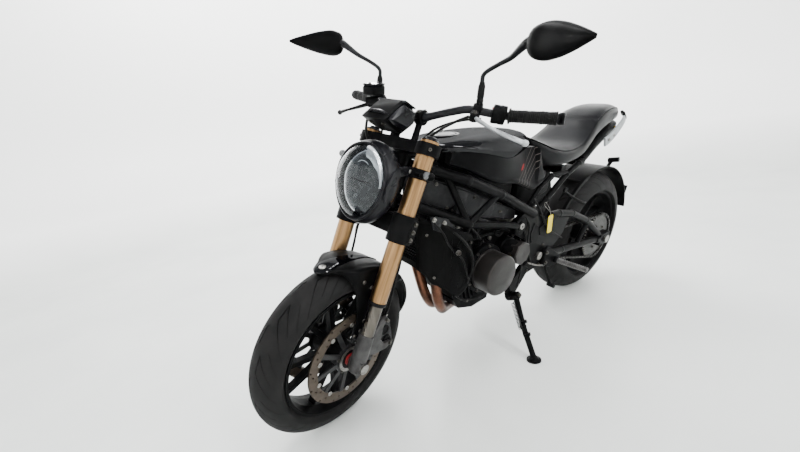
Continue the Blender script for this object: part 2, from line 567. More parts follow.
def strap(path, wide, thick, bevel=2.0):
    """A flat bar along a path: rings of eight points, its width W square to Y and to the way forward."""
    forward = np.gradient(path, axis=0)
    forward /= np.linalg.norm(forward, axis=1, keepdims=True)
    across = np.cross([0, 1, 0], forward)
    across /= np.linalg.norm(across, axis=1, keepdims=True)
    normal = np.cross(forward, across)
    w = np.broadcast_to(np.asarray(wide, float) / 2, len(path))[:, None]
    t = thick / 2
    ring = [(w - bevel, t), (w, t - bevel), (w, bevel - t), (w - bevel, -t),
            (bevel - w, -t), (-w, bevel - t), (-w, t - bevel), (bevel - w, t)]
    return grid(np.stack([path + across * p + normal * q for p, q in ring], 1))


cowl = curve([[-118, 838, 858, 36, 0.5], [-90, 818, 856, 58, 0.6], [20, 786, 834, 78, 0.6],
              [150, 752, 800, 100, 0.6], [220, 726, 770, 110, 0.7], [262, 718, 754, 116, 0.8]], 4)
rail = curve([[66, 93, 783, 42], [32, 96, 797, 42], [-20, 97, 829, 38], [-68, 94, 862, 31],
              [-88, 86, 884, 27], [-97, 68, 894, 24]], 6)
lens_ring = np.array([[-134, 26, 838], [-137, 26, 846], [-134, 26, 854], [-110, 29, 855], [-108, 29, 837]])
lamp_rows = np.stack([lens_ring * [1, f, 1] + [e, 0, 0]
                      for f, e in ((-1, 2), (-0.9, 0), (-0.33, -1.5), (0.33, -1.5), (0.9, 0), (1, 2))])
piece("tail_cowl_moulded", "chassis", [(plastic, placed(grid(lofted(cowl))))], ["tail_cowl"])
piece("tail_lamp_lens", "chassis", [(lamp_red, placed(grid(lamp_rows)))], ["tail_light"])
piece("tail_lamp_amber_windows", "chassis", pair(lamp_amber, 
    grid(np.stack([np.array([[-92, 0, 820], [-60, 0, 829], [-56, 0, 838], [-88, 0, 833]]) + [0, y, 0]
                   for y in (52, 58, 70, 75)]))))
piece("grab_rails_strap", "chassis", pair(silver, strap(rail[:22, :3], rail[:22, 3], 9))
      + pair(plastic, strap(rail[21:, :3], rail[21:, 3] + 1.5, 10.5))
      + [part for at in ([44, 99.5, 792], [10, 100, 808]) for part in pair(
          steel, lathe([(-2, 7), (2.4, 7), (4, 5.5), (4, 3), (2, 2.8), (2, 0)], at, (0, 1, 0.1), 14))],
      ["grab_rails"])

# ---- Front fender ----------------------------------------------------------------------------
# Moulded shell over the front tyre with wings that run down inside the fork legs to their feet,
# and a raised lacquered blade along its nose. Angles are round the axle, 90 degrees at the top.
screw_steel = surface("screw_steel_blackened", "#5b5956", "#37352f", (0.28, 0.42), 1.0, blotch=10,
                      grain=0.5, depth=0.01)
FRONT_AXLE_X = 1460  # straight ahead of the rear axle
deg = np.linspace(80.5, 188.5, 110)
half = along(deg, (80.5, 6), (82, 20), (84.5, 30), (88, 42), (92, 62), (96, 77), (100, 82), (120, 82.2),
             (138, 82), (144, 74), (155, 66), (168, 52), (178, 34), (185, 16), (188.5, 3))
reach_in = np.interp(deg, [90, 94, 98, 101, 104, 107, 113, 119, 125, 131, 137, 142],
                     [308, 282, 226, 168, 108, 76, 70, 100, 165, 236, 280, 306])
s = np.linspace(0, 1, 15)
ridge = 318.5 - 12 * s ** 3 * (half[:, None] / 82) - 1.5 * np.exp(-((s - 0.55) / 0.08) ** 2)
top_y = half[:, None] * np.sin(s * math.pi / 2) ** 0.9
edge_r = ridge[:, -1:]
lip = np.minimum(edge_r - 7, reach_in[:, None])
d = np.linspace(0, 1, 16)[1:]
side_r = edge_r + (lip - edge_r) * d
side_y = half[:, None] + 0.6 * np.sin(d * math.pi) - 2.5 * d
r_all = np.hstack([ridge, side_r])
y_all = np.hstack([top_y, side_y])
r_ring = np.hstack([r_all[:, :0:-1], r_all])
y_ring = np.hstack([-y_all[:, :0:-1], y_all])
turn = np.radians(deg)[:, None]


def by_front_axle(p):
    """Straight-ahead points measured from the front axle in bike directions, as row-frame metres."""
    return steered(np.asarray(p, float) + [FRONT_AXLE_X, 0, FRONT_R])


outer = np.stack([r_ring * np.cos(turn), y_ring, r_ring * np.sin(turn)], -1)
thick = 3
inner_r = r_all - thick * (np.arange(r_all.shape[1]) < len(s))
inner_r = np.hstack([inner_r[:, :0:-1], inner_r])
inner_y = np.sign(y_ring) * np.maximum(np.abs(y_ring) - thick * (np.abs(y_ring) > 30), 0)
inner = np.stack([inner_r * np.cos(turn), inner_y, inner_r * np.sin(turn)], -1)
fender = grid(np.concatenate([outer, inner[:, ::-1]], 1))
deg = np.linspace(80.3, 128, 60)
blade_w = along(deg, (80.3, 4), (82, 18), (85, 27), (90, 31), (98, 27), (108, 19), (118, 9), (128, 0.8))
q = np.linspace(-1, 1, 17)
blade_r = 318.3 - 12 * (np.abs(q) * blade_w[:, None] / 82) ** 3 + 3.2 * (1 - q ** 4)
turn = np.radians(deg)[:, None]
blade = np.stack([blade_r * np.cos(turn), blade_w[:, None] * q, blade_r * np.sin(turn)], -1)
button_turn = math.radians(85.5)
button_at = 322.5 * np.array([math.cos(button_turn), 0, math.sin(button_turn)])
piece("front_fender_moulded", "steering", [
    (plastic, placed(fender, by_front_axle)), (gloss, placed(grid(blade), by_front_axle)),
    (steel, placed(lathe([(-4, 11), (0, 11), (1, 10), (0.4, 9), (0.4, 0)], button_at, button_at, 28),
                   by_front_axle)),
] + [part for x, z in ((-58, 122), (-42, 92), (-16, 84), (-92, 232), (-62, 264)) for part in pair(
    screw_steel, lathe([(-3, 7), (1.6, 7), (3.4, 5), (3.4, 2.6), (1.6, 2.4), (1.6, 0)], [x, 82, z],
                       (0, 1, 0), 14),
    by_front_axle)],
    ["front_fender"], 50)

# ---- Headlight -------------------------------------------------------------------------------
# Egg-shaped satin shell with a rolled rim, a clear domed lens, and inside a dark bowl with a pale
# upper reflector, curved light guides and a round projector low down. Its own frame: x down, z out.
satin = surface("moulded_plastic_satin", "#0b0b0d", "#151518", (0.24, 0.34), blotch=60, grain=0.6,
                depth=0.008, ior=1.24)
bowl_grey = surface("headlight_bowl_grey", "#1f2022", "#2a2b2d", (0.4, 0.5), blotch=10, grain=6.0,
                    depth=0.01, ior=1.25)
reflector_pale = surface("reflector_pale_metallised", "#e2e4e6", "#b9bcbf", (0.16, 0.3), 0.35, blotch=10,
                         grain=4.0, depth=0.05)
bright = surface("reflector_aluminised", "#8d9194", "#63676a", (0.12, 0.24), 1.0, blotch=12, grain=6.0,
                 depth=0.05)
projector_glass = surface("projector_lens_glass", "#0c0e11", "#14171b", (0.02, 0.05), 0.0, blotch=14,
                          grain=6.0, depth=0.02)
light_guide = surface("light_guide_white", "#9a9da0", "#7f8285", (0.2, 0.3), blotch=10, grain=3.0,
                      depth=0.02)

# Clear moulded lens: fully transparent except for what its surface mirrors at each angle
clear, tree = blank("lens_polycarbonate_clear")
dust = add(tree, "TexNoise", {"Vector": (add(tree, "TexCoord"), "Object"), "Scale": 90.0, "Detail": 6.0})
haze = add(tree, "MapRange", {"Value": (dust, "Fac"), "From Min": 0.5, "From Max": 0.8, "To Min": 0.0,
                              "To Max": 0.035})
facing = add(tree, "Fresnel", {"IOR": 1.28})
sum_up = add(tree, "Math", {0: (facing, "Fac"), 1: (haze, "Result")}, operation="ADD")
through = add(tree, "BsdfTransparent", {"Color": (0.93, 0.95, 0.96, 1)})
shine = add(tree, "BsdfGlossy", {"Color": (0.95, 0.96, 0.98, 1), "Roughness": 0.03})
blend = add(tree, "MixShader", {0: (sum_up, "Value"), 1: (through, "BSDF"), 2: (shine, "BSDF")})
add(tree, "OutputMaterial", {"Surface": (blend, "Shader")})

HEAD_TILT = math.radians(72)
HEAD_AT = [1302, 0, 831]
CLEAR_OF_YOKE = 71  # the lower back of the shell is flattened there, in the fork frame


def head(p):
    """Points of the headlight's frame as row-frame metres: turned by its tilt about Y, then steered."""
    p = np.asarray(p, float)
    c, s = math.cos(HEAD_TILT), math.sin(HEAD_TILT)
    q = to_fork(np.stack([c * p[..., 0] + s * p[..., 2], p[..., 1], c * p[..., 2] - s * p[..., 0]], -1)
                + HEAD_AT)
    low_back = (q[..., 2] < to_fork(HEAD_AT)[2] - 30) & (q[..., 0] < CLEAR_OF_YOKE)
    q[..., 0] = np.where(low_back, CLEAR_OF_YOKE, q[..., 0])
    return fork(q)


def tube(path, radius, sides=12):
    """A round bar along a path: p + r (cos a U + sin a V), U square to the path's flattest normal."""
    path = np.asarray(path, float)
    t = np.gradient(path, axis=0)
    t /= np.linalg.norm(t, axis=1, keepdims=True)
    n = np.linalg.svd(path - path.mean(0))[2][2]
    u = np.cross(n, t)
    u /= np.linalg.norm(u, axis=1, keepdims=True)
    v = np.cross(t, u)
    a = np.linspace(0, 2 * math.pi, sides + 1)[:-1, None]
    r = np.broadcast_to(np.asarray(radius, float), len(path))[:, None, None]
    return grid(path[:, None] + r * (np.cos(a) * u[:, None] + np.sin(a) * v[:, None]))


def egg(rings):
    """An egg's rings, wider and blunter towards the foot. For each ring's (p, q, h) and turn a, the
    point p cos a (1 + 0.03 cos a), q sin a (1 - 0.07 cos a), h."""
    a = np.linspace(0, 2 * math.pi, 73)[:-1]
    p, q, h = np.asarray(rings, float).T[:, :, None]
    c, s = np.cos(a), np.sin(a)
    return np.stack([p * c * (1 + 0.03 * c), q * s * (1 - 0.07 * c), h + 0 * a], -1)


phi = np.radians(np.linspace(3, 115.4, 26))
rim = [(112, 97.6, 34), (111, 96.6, 38), (108, 93.6, 39.5), (104.5, 90, 38), (103.5, 89, 34)]
reflector = [(103, 88.5, 30.5), (92, 79, 8), (70, 60, -16), (40, 34, -34), (8, 7, -40)]
shell = egg(np.vstack([np.stack([122 * np.sin(phi), 106 * np.sin(phi), -70 * np.cos(phi)], -1), rim,
                       reflector]))
inside = len(phi) + len(rim) - 1
phi = np.radians(np.linspace(2.5, 67, 22))
dome = np.stack([107 / 0.93 * np.sin(phi), 92.5 / 0.93 * np.sin(phi), 84 * np.cos(phi)], -1)
lens = egg(np.vstack([dome, dome[::-1] * [0.975, 0.975, 1] - [0, 0, 2.6]]))
piece("headlight_shell_moulded", "steering", [
    (satin, placed(grid(shell[:inside + 1]), head)), (bowl_grey, placed(grid(shell[inside:]), head)),
], ["headlight_shell"], 60)
piece("headlight_lens_clear", "steering", [(clear, placed(grid(lens), head))], ["headlight_lens"], 60)
t = np.radians(np.linspace(88, 172, 26))
band = [(0.99, 37), (0.93, 44), (0.74, 40), (0.52, 22), (0.5, 16), (0.9, 24)]
slim = np.clip((t - t[0]) / 0.8, 0, 1)
wedge = np.stack([np.stack([103 * g * np.cos(t), 88 * g * np.sin(t), h + 0 * t], -1)
                  for f, h in band for g in [0.97 + (f - 0.97) * (0.12 + 0.88 * slim)]], 1)
arc = np.linspace(-1.1, 1.25, 30)
guides = [np.stack([-8 - k * np.cos(arc) * 1.05, k * 0.86 * np.sin(arc), 36 + 10 * np.cos(arc) - 0.25 * k],
                   -1) for k in (46, 60, 74)]
piece("headlight_reflectors", "steering", [
    (reflector_pale, placed(grid(wedge), head)),
    (plastic, placed(lathe([(-24, 46), (16, 44), (22, 40), (20, 34), (4, 32), (-24, 32)], (46, -4, 0),
                           (0, 0, 1), 48), head)),
    (bright, placed(lathe([(0, 36), (26, 35), (29, 33.5), (29, 31), (24, 28), (10, 27), (6, 0)],
                          (46, -4, 0), (0, 0, 1), 48), head)),
    (projector_glass, placed(lathe([(8, 26.5), (20, 26), (27, 22), (32, 15), (34.5, 7), (35, 0)],
                                   (46, -4, 0), (0, 0, 1), 40), head)),
    (plastic, placed(tube(np.array([[-6, -84, 20], [-2, -50, 30], [0, 0, 34], [-2, 50, 30], [-6, 84, 20]]),
                          3.2, 8), head)),
] + [(light_guide, placed(tube(g, 1.3, 8), head)) for g in guides], ["headlight_projector"], 50)
arm = np.array([(60, 598), (60, 622), (84, 620), (118, 612), (140, 590), (150, 556), (146, 520), (132, 506),
                (136, 540), (126, 566), (108, 584), (90, 592)], float)
clamp_ring = lathe([(0, 28), (0, 34), (1.5, 35.5), (26.5, 35.5), (28, 34), (28, 28)], (LEG_X, LEG_Y, 596),
                   (0, 0, 1), 48)


def slab(outline, low, high, edge=1.2, axis=1):
    """A flat plate: its outline drawn in the two directions square to the axis, with bevelled edges.
    Each point moves in by the edge along the mean of its two sides' normals."""
    o = np.asarray(outline, float)
    side = np.roll(o, -1, 0) - o
    normal = np.stack([-side[:, 1], side[:, 0]], 1) / np.linalg.norm(side, axis=1, keepdims=True)
    turn = np.sign(np.sum(o[:, 0] * np.roll(o[:, 1], -1) - o[:, 1] * np.roll(o[:, 0], -1)))
    inset = o + turn * edge * (normal + np.roll(normal, 1, 0)) / 2
    rings = [(inset, low), (o, low + edge), (o, high - edge), (inset, high)]
    return grid(np.stack([np.insert(r, axis, h, axis=1) for r, h in rings]))


piece("headlight_brackets", "steering", pair(cast_black, clamp_ring, fork)
      + pair(satin, slab(arm, 97.5, 103), fork)
      + [part for x, y in ((74, 103), (52, 140)) for part in pair(
          steel, lathe([(-2, 6), (2, 6), (3.6, 4.6), (3.6, 2.4), (1.6, 2.2), (1.6, 0)], [x, y, 610],
                       (0, 1, 0), 14), fork)])

# ---- Mirrors ---------------------------------------------------------------------------------
# Teardrop housings on bent stems with a rubber boot at the foot. Each is a lofted row of ovals,
# and its glass faces the rider.
grip_rubber = surface("moulded_grip_rubber", "#060606", "#0d0d0d", (0.5, 0.66), blotch=15, grain=0.6,
                      depth=0.03, ior=1.24)
mirror_glass = surface("mirror_glass_silvered", "#d4d8da", "#c8ccce", (0.01, 0.02), 1.0, blotch=60,
                       grain=9.0, depth=0.0)
stem = curve([[1055, 188, 1074, 6], [1055, 187, 1096, 6], [1056, 189, 1109, 6], [1059, 202, 1120, 6],
              [1067, 234, 1136, 6], [1077, 267, 1151, 7], [1090, 291, 1168, 9], [1100, 311, 1182, 11],
              [1104, 326, 1188, 12]], 6)
rows = curve([[1095, 318, 1172, 1196, 8], [1099, 324, 1158, 1212, 16], [1105, 341, 1149, 1220, 23],
              [1112, 366, 1147, 1224, 26], [1133, 400, 1154, 1220, 24], [1154, 429, 1164, 1213, 19],
              [1179, 459, 1177, 1204, 12], [1196, 481, 1188, 1196, 4]], 6)
a = np.linspace(0, 2 * math.pi, 41)[:-1]
x, y, low, high, deep = rows.T[:, :, None]
mirror_turn = math.radians(30.8)
away = np.array([math.cos(mirror_turn), -math.sin(mirror_turn)])
swell = np.where(np.cos(a) > 0, 0.28, 1.0) * np.cos(a)
housing = np.stack([x - deep * swell * away[0], y - deep * swell * away[1],
                    (low + high) / 2 + (high - low) / 2 * np.sin(a) + 0 * x], -1)
face = rows[4:-4]
f = np.array([1, 0.7, 0.3, 0, -0.3, -0.7, -1])
x, y, low, high, deep = face.T[:, :, None]
back_off = 0.3 * deep * (1 - 0.5 * f ** 2)
glass = [np.stack([x - (back_off + k) * away[0], y - (back_off + k) * away[1],
                   (low + high) / 2 + 0.82 * f * (high - low) / 2], -1) for k in (-1.0, 1.2)]
glass_ring = np.concatenate([glass[0], glass[1][:, ::-1]], 1)
boot = lathe([(0, 9), (2, 9.6), (8, 9.6), (9, 8.8), (12, 8.8), (13, 9.6), (40, 9.6), (46, 8), (52, 6.5)],
             [1055, 188, 1040.5], (0, 0, 1), 24)
piece("mirrors_teardrop", "steering", pair(plastic, grid(housing), steered)
      + pair(satin, tube(stem[:, :3], stem[:, 3], 16), steered)
      + pair(grip_rubber, boot, steered)
      + pair(mirror_glass, grid(glass_ring), steered), ["mirrors"], 60)

# ---- Exhaust ---------------------------------------------------------------------------------
# Two bent header pipes, coppery from heat near the ports, that join ahead of a short dark muffler
# low on the right.
cast_grey = surface("cast_aluminium_grey", "#6e6d6c", "#4c4b4a", (0.4, 0.55), 0.85, blotch=35, grain=0.9,
                    depth=0.04)
pipe_steel = surface("header_pipe_steel_heated", "#6a4534", "#35241c", (0.32, 0.5), 0.9, blotch=60,
                     grain=0.8, depth=0.02)
heads = []
for side, rows in ((1, [[1066, 56, 526], [1062, 58, 468], [1056, 62, 400], [1046, 64, 340], [1012, 48, 282],
                        [958, 8, 238], [890, -32, 204], [820, -48, 192]]),
                        (-1, [[1066, -56, 526], [1062, -44, 468], [1058, -22, 400], [1048, -4, 336],
                              [1014, -10, 280], [958, -44, 236], [890, -78, 204], [820, -94, 192]])):
    path = curve([[1034, 56 * side, 611], [1052, 56 * side, 598], [1063, 56 * side, 566]] + rows
                 + [[692, 22 * side - 72, 192]], 8)
    heads += [(pipe_steel, placed(tube(path, 20, 28)))]
    heads += [(cast_grey, placed(lathe([(-3, 29), (5, 29), (7, 27), (7, 21)], [1031, 56 * side, 613],
                                       (0.93, 0, -0.37), 32)))]
piece("header_pipes", "chassis", heads, ["exhaust_headers"], 60)
link = curve([[706, -72, 191, 45], [664, -80, 194, 45], [630, -104, 206, 38], [600, -132, 222, 34]], 6)
tilt = math.radians(80)
way = np.array([-math.sin(tilt) * math.cos(math.radians(6)), -math.sin(tilt) * math.sin(math.radians(6)),
                math.cos(tilt)])
piece("muffler_short", "chassis", [
    (cast_black, placed(tube(link[:, :3], link[:, 3], 32))),
    (cast_black, placed(lathe([(0, 40), (3, 54), (8, 59.5), (26, 60), (27, 58.6), (31, 58.6), (32, 60),
                               (164, 60), (165, 58.6), (169, 58.6),
                               (170, 60), (190, 59.5), (196, 54), (199, 44), (199, 26), (170, 24),
                               (170, 0)], [618, -148, 226], way, 56))),
    (steel, placed(lathe([(196, 25), (200, 24.5), (200, 22), (172, 21), (172, 0)], [618, -148, 226], way,
                         40))),
    (cast_grey, placed(slab([(585, 272), (615, 272), (615, 328), (585, 328)], -157.7, -145.7))),
], ["silencer"])

# ---- Engine covers ---------------------------------------------------------------------------
# Turned and cast covers on both sides: a bolted black ring behind the generator's grey cap, an
# eight-sided idler cap behind it, and bolted clutch and pump covers on the right.
cast_bronze = surface("cast_cover_bronze_grey", "#272423", "#1e1c1b", (0.34, 0.48), 0.7, blotch=50,
                      grain=1.0, depth=0.03)


def screw(centre, axis, r=5.0):
    """A cap screw with a washer and a hexagonal socket: a turned form of twelve sides."""
    return lathe([(-2, 1.35 * r), (0.25 * r, 1.35 * r), (0.3 * r, r), (0.95 * r, r), (1.1 * r, 0.85 * r),
                  (1.1 * r, 0.5 * r), (0.6 * r, 0.45 * r), (0.6 * r, 0)], centre, axis, 12)


def round_of(n, r, x, z, y, start=0.0):
    """n places round a circle of radius r about (x, z), at distance y from the middle."""
    k = start + 2 * math.pi * np.arange(n) / n
    return np.stack([x + r * np.cos(k), y + 0 * k, z + r * np.sin(k)], 1)


covers = [
    (cast_black, lathe([(94.3, 84), (94.3, 88), (128, 88), (130, 86), (134, 92), (146, 92), (149, 89),
                        (149, 60)], (896, 0, 453), (0, 1, 0), 72)),
    (cast_bronze, lathe([(149, 74), (152, 77), (158, 77), (160, 75.4), (216, 75.4), (219, 74.8),
                         (222.5, 71.5), (224, 68), (224, 30), (223.6, 0)],
                        (896, 0, 453), (0, 1, 0), 96)),
    (cast_black, lathe([(94.3, 40), (94.3, 46), (128, 46), (133.5, 42), (150, 42), (158, 40), (176, 40),
                        (176, 20)], (751, 0, 484), (0, 1, 0), 56)),
    (cast_bronze, lathe([(160, 38), (162, 41), (176, 42.5), (178, 46), (194, 46), (198, 42), (198, 16),
                         (197, 0)], (751, 0, 484), (0, 1, 0), 8)),
    (cast_black, lathe([(-94.3, 80), (-94.3, 92), (-126, 92), (-130, 88), (-130, 80), (-164, 80),
                        (-168, 75), (-168, 40), (-165, 36), (-165, 0)], (800, 0, 420), (0, 1, 0), 72)),
    (cast_black, lathe([(-94.3, 50), (-94.3, 60), (-146, 60), (-150, 56), (-150, 30), (-146, 26),
                        (-146, 0)], (930, 0, 450), (0, 1, 0), 56)),
]
covers = [(m, placed(s)) for m, s in covers]
covers += [(screw_steel, placed(screw(c, (0, 1, 0), 4.2))) for c in round_of(9, 86.5, 896, 453, 149, 0.3)
           if c[0] > 840]
covers += [(screw_steel, placed(screw(c, (0, -1, 0), 4.2))) for c in round_of(10, 86, 800, 420, -130, 0.2)]
covers += [(screw_steel, placed(screw(c, (0, -1, 0), 4))) for c in round_of(5, 50, 930, 450, -150, 0.5)]
piece("engine_covers_turned", "chassis", covers, ["engine_covers"], 35)

# ---- Engine side castings --------------------------------------------------------------------
# Raised flanges, ribs, screws, plugs and hoses on the crankcase, which the CAD keeps plain, with a
# round cap at its front corner.
flange = np.array([(706, 538), (632, 496), (628, 434), (668, 356), (764, 308), (934, 300), (992, 344),
                   (1020, 430), (1000, 520), (930, 548), (800, 560)], float)
detail = []
for side in (1, -1):
    lo, hi = sorted((side * 94, side * 101))
    detail.append((cast_black, placed(slab(flange, lo, hi, 2.0))))
    for p in flange + 0.045 * (flange.mean(0) - flange):
        detail.append((screw_steel, placed(screw([p[0], side * 101, p[1]], (0, side, 0), 4.2))))
for x0 in range(960, 860, -20):
    rib = [(x0, 322), (x0 + 7, 322), (x0 + 22, 372), (x0 + 15, 372)]
    detail.append((cast_black, placed(slab(rib, 100, 112, 1.5))))
for i in range(6):
    (x0, z0), (x1, z1) = (640 + 9 * i, 380 + 22 * i), (690 + 8 * i, 390 + 18 * i)
    detail.append((cast_black,
                   placed(slab([(x0, z0), (x1, z1), (x1, z1 + 6), (x0, z0 + 7)], 100, 108, 1.2))))
clip = [(-5, 11), (-5, 13.4), (5, 13.4), (5, 11)]
for path, clips_at in (
    ([[1100, 78, 512], [1080, 96, 500], [1052, 104, 470], [1030, 102, 430], [1018, 98, 400],
      [1004, 92, 378]], (6, 34)),
    ([[1094, 60, 700], [1060, 78, 690], [1020, 96, 664], [990, 104, 640], [962, 100, 622]], (5, 27)),
):
    hose = curve(path, 8)
    detail.append((grip_rubber, placed(tube(hose, 12, 16))))
    detail += [(steel, placed(lathe(clip, hose[k], hose[k + 1] - hose[k], 20))) for k in clips_at]
for path, r in (([[1010, 100, 380], [985, 112, 345], [930, 112, 318], [870, 108, 300], [800, 100, 296]],
                 3.5),
                ([[990, 108, 560], [960, 116, 540], [930, 114, 560], [880, 112, 566], [820, 112, 560],
                  [760, 112, 556]], 5),
                ([[820, 118, 560], [800, 124, 548], [770, 122, 560], [740, 120, 548], [700, 118, 540]], 4),
                ([[1000, 96, 600], [980, 112, 580], [972, 114, 550], [975, 110, 520], [990, 104, 480],
                  [1006, 100, 452]], 4)):
    detail.append((grip_rubber, placed(tube(curve(path, 8), r, 10))))
for x0, z0, r in ((978, 556, 11), (1006, 470, 9), (842, 548, 8), (700, 520, 7)):
    detail.append((cast_black,
                   placed(lathe([(94, r + 5), (108, r + 5), (110, r + 3), (110, 0)], (x0, 0, z0), (0, 1, 0),
                                24))))
    detail.append((steel, placed(lathe([(109, r), (117, r), (118.5, r - 1.5), (118.5, r * 0.5),
                                        (112, r * 0.45), (112, 0)], (x0, 0, z0), (0, 1, 0), 6))))
detail.append((cast_black,
               placed(lathe([(-12, 6), (-12, 24), (-8, 30), (8, 30), (12, 26), (12, 12), (9, 8), (9, 0)],
                            (1092, 102, 470), (0.75, 0.6, 0), 36))))
piece("engine_castings_and_hoses", "chassis", detail, angle=35)

# ---- Cylinder head ---------------------------------------------------------------------------
# Cam cover, plug leads and intake rubbers above the cylinders, and the air box under the tank:
# moulded and cast forms that fill the space behind the trellis.
def by_cylinders(p):
    """Points of the cylinders' own frame, leaned forward 22 degrees, as row-frame metres."""
    p = np.asarray(p, float)
    c, s = math.cos(math.radians(22)), math.sin(math.radians(22))
    return bike(np.stack([c * p[..., 0] + s * p[..., 2], p[..., 1], c * p[..., 2] - s * p[..., 0]], -1)
                + [930, 0, 535])


box = curve([[668, 668, 770, 52, 0.8], [690, 650, 782, 74, 0.9], [800, 652, 800, 80, 0.9],
             [900, 676, 838, 82, 0.9], [1000, 712, 856, 74, 0.9], [1052, 752, 862, 58, 0.8]], 5)
head_parts = [(plastic, placed(grid(lofted(box, 40, 0.65))))]
head_parts += [(plastic,
                placed(lathe([(-14, 26), (-10, 28), (-4, 24), (4, 24), (10, 28), (14, 26)], (898, y, 690),
                             (0.3, 0, 1), 32))) for y in (-50, 50)]
rib = [(-70, 152), (48, 152), (44, 196), (-60, 200)]
head_parts += [(cast_black, placed(slab(rib, lo, hi, 3), by_cylinders))
               for lo, hi in ((98, 104), (-104, -98))]
head_parts += [(screw_steel, placed(screw([x0, s * 104, z0], (0, s, 0), 4), by_cylinders))
               for s in (1, -1) for x0, z0 in ((-56, 162), (36, 160), (34, 188), (-50, 190))]
fin = np.array([(-52, 30), (-44, 30), (-40, 90), (-48, 90)])
head_parts += [(cast_black, placed(slab(fin + [20 * i, 0], lo, hi, 1.2), by_cylinders))
               for i in range(5) for lo, hi in ((100, 108), (-108, -100))]
piece("cylinder_head_and_air_box", "chassis", head_parts, angle=35)

# ---- Panels behind the trellis ---------------------------------------------------------------
# Textured moulded covers between the frame's upper and lower tubes, bent in towards the
# headstock and held by screws.
textured = surface("moulded_plastic_pebbled", "#0c0c0d", "#1c1c1e", (0.5, 0.62), blotch=9, grain=2.6,
                   depth=0.3, ior=1.3)
x = np.linspace(706, 1112, 60)
low = np.interp(x, [706, 720, 1000, 1112], [592, 590, 668, 722])
top = np.interp(x, [706, 850, 1000, 1090, 1112], [622, 694, 768, 806, 806])
y = np.interp(x, [706, 985, 1060, 1112], [116, 116, 78, 50])
v = np.linspace(0, 1, 26)
z = low[:, None] + (top - low)[:, None] * v
pleat = 3.0 * np.exp(-((np.mod(x[:, None] + 0.6 * (z - 600), 92) - 46) / 5) ** 2) - 3.5 * (
    (v < 0.06) | (v > 0.94))
outer = np.stack([x[:, None] + 0 * z, y[:, None] + pleat, z], -1)
panels = pair(textured, grid(np.concatenate([outer, (outer - [0, 5, 0])[:, ::-1]], 1)))
for x0, z0, y0 in ((1072, 786, 73), (1040, 704, 90), (942, 724, 117), (900, 662, 117), (800, 640, 117)):
    panels += pair(screw_steel, screw([x0, y0, z0], (0.3 if x0 > 1000 else 0, 1, 0), 4.5))
piece("trellis_panels_textured", "chassis", panels, angle=35)

# ---- Radiator side panels --------------------------------------------------------------------
# Black moulded cowls beside the radiator, bent round it, with pleats behind the bend and a bead
# along the edge.
soot_black = surface("radiator_duct_matt_black", "#040404", "#070707", (0.6, 0.8), blotch=40, grain=1.2,
                     depth=0.05, ior=1.15)
u = np.linspace(0, 1, 110)
path = curve([[1158, 70], [1153, 90], [1122, 118], [1066, 160], [1030, 167], [992, 168.5]], 12)
x = np.interp(u, np.linspace(0, 1, len(path)), path[:, 0])
y = np.interp(u, np.linspace(0, 1, len(path)), path[:, 1])
top = along(x, (992, 604), (1010, 628), (1060, 652), (1100, 674), (1160, 696))
low = along(x, (992, 470), (1002, 436), (1050, 406), (1100, 441), (1140, 484), (1160, 512))
v = np.linspace(0, 1, 72)
z = low[:, None] + (top - low)[:, None] * v
bead = 2.2 * (np.exp(-((v - 0.035) / 0.02) ** 2) + np.exp(-((v - 0.965) / 0.02) ** 2))
behind = 1 / (1 + np.exp((x[:, None] - 1075) / 5))
behind = behind * np.clip((v - 0.1) * 8, 0, 1) * np.clip((0.9 - v) * 8, 0, 1)
pleat = -11.0 * np.abs(np.sin((x[:, None] * 0.94 + z * 0.3) * math.pi / 25)) ** 0.8 * behind
scoop = -6.0 * np.exp(-((x[:, None] - 1112) / 16) ** 2) * np.exp(-((z - 560) / 60) ** 4)
tangent = np.gradient(np.stack([x, y], 1), axis=0)
normal = np.stack([tangent[:, 1], -tangent[:, 0]], 1)
normal /= np.linalg.norm(normal, axis=1, keepdims=True)
normal *= np.sign(normal[:, 1:2])
push = bead + pleat + scoop - 1.5
outer = np.stack([x[:, None] + normal[:, :1] * push, y[:, None] + normal[:, 1:] * push, z], -1)
inner = np.stack([x[:, None] - 4 * normal[:, :1] + 0 * z, y[:, None] - 4 * normal[:, 1:] + 0 * z, z], -1)
both = np.concatenate([outer, inner[:, ::-1]], 1)
bend = int(np.argmax(x < 1078))
cowls = pair(soot_black, grid(both[:bend + 1])) + pair(plastic, grid(both[bend:]))
shelf = np.array([(1150, 712), (1120, 704), (1000, 652), (1010, 634), (1074, 630), (1136, 664)], float)
cowls += pair(satin, slab(shelf, 127, 131, 1.2))
for x0, z0 in ((1136, 698), (1092, 676), (1030, 648)):
    cowls += pair(steel, screw([x0, 131, z0], (0, 1, 0), 6))
cowls += pair(cast_black, lathe([(-6, 12), (16, 12), (20, 14), (23, 13.4), (22, 9.4), (10, 7), (8, 0)],
                                (1060, 158, 580), (0.5, 0.86, 0.1), 28))
cowls += pair(steel, lathe([(12, 7), (22.4, 7.4), (23.6, 8.4), (22.4, 9.4), (12, 9)], (1060, 158, 580),
                           (0.5, 0.86, 0.1), 28))
for x0, z0, r in ((1012, 592, 9), (980, 600, 8), (948, 574, 9)):
    cowls += pair(plastic, lathe([(-26, r), (4, r), (5, r + 3), (9, r + 3), (10, r), (18, r - 2), (19, 0)],
                                 (x0, 150, z0), (-0.5, 0.8, 0.33), 8))
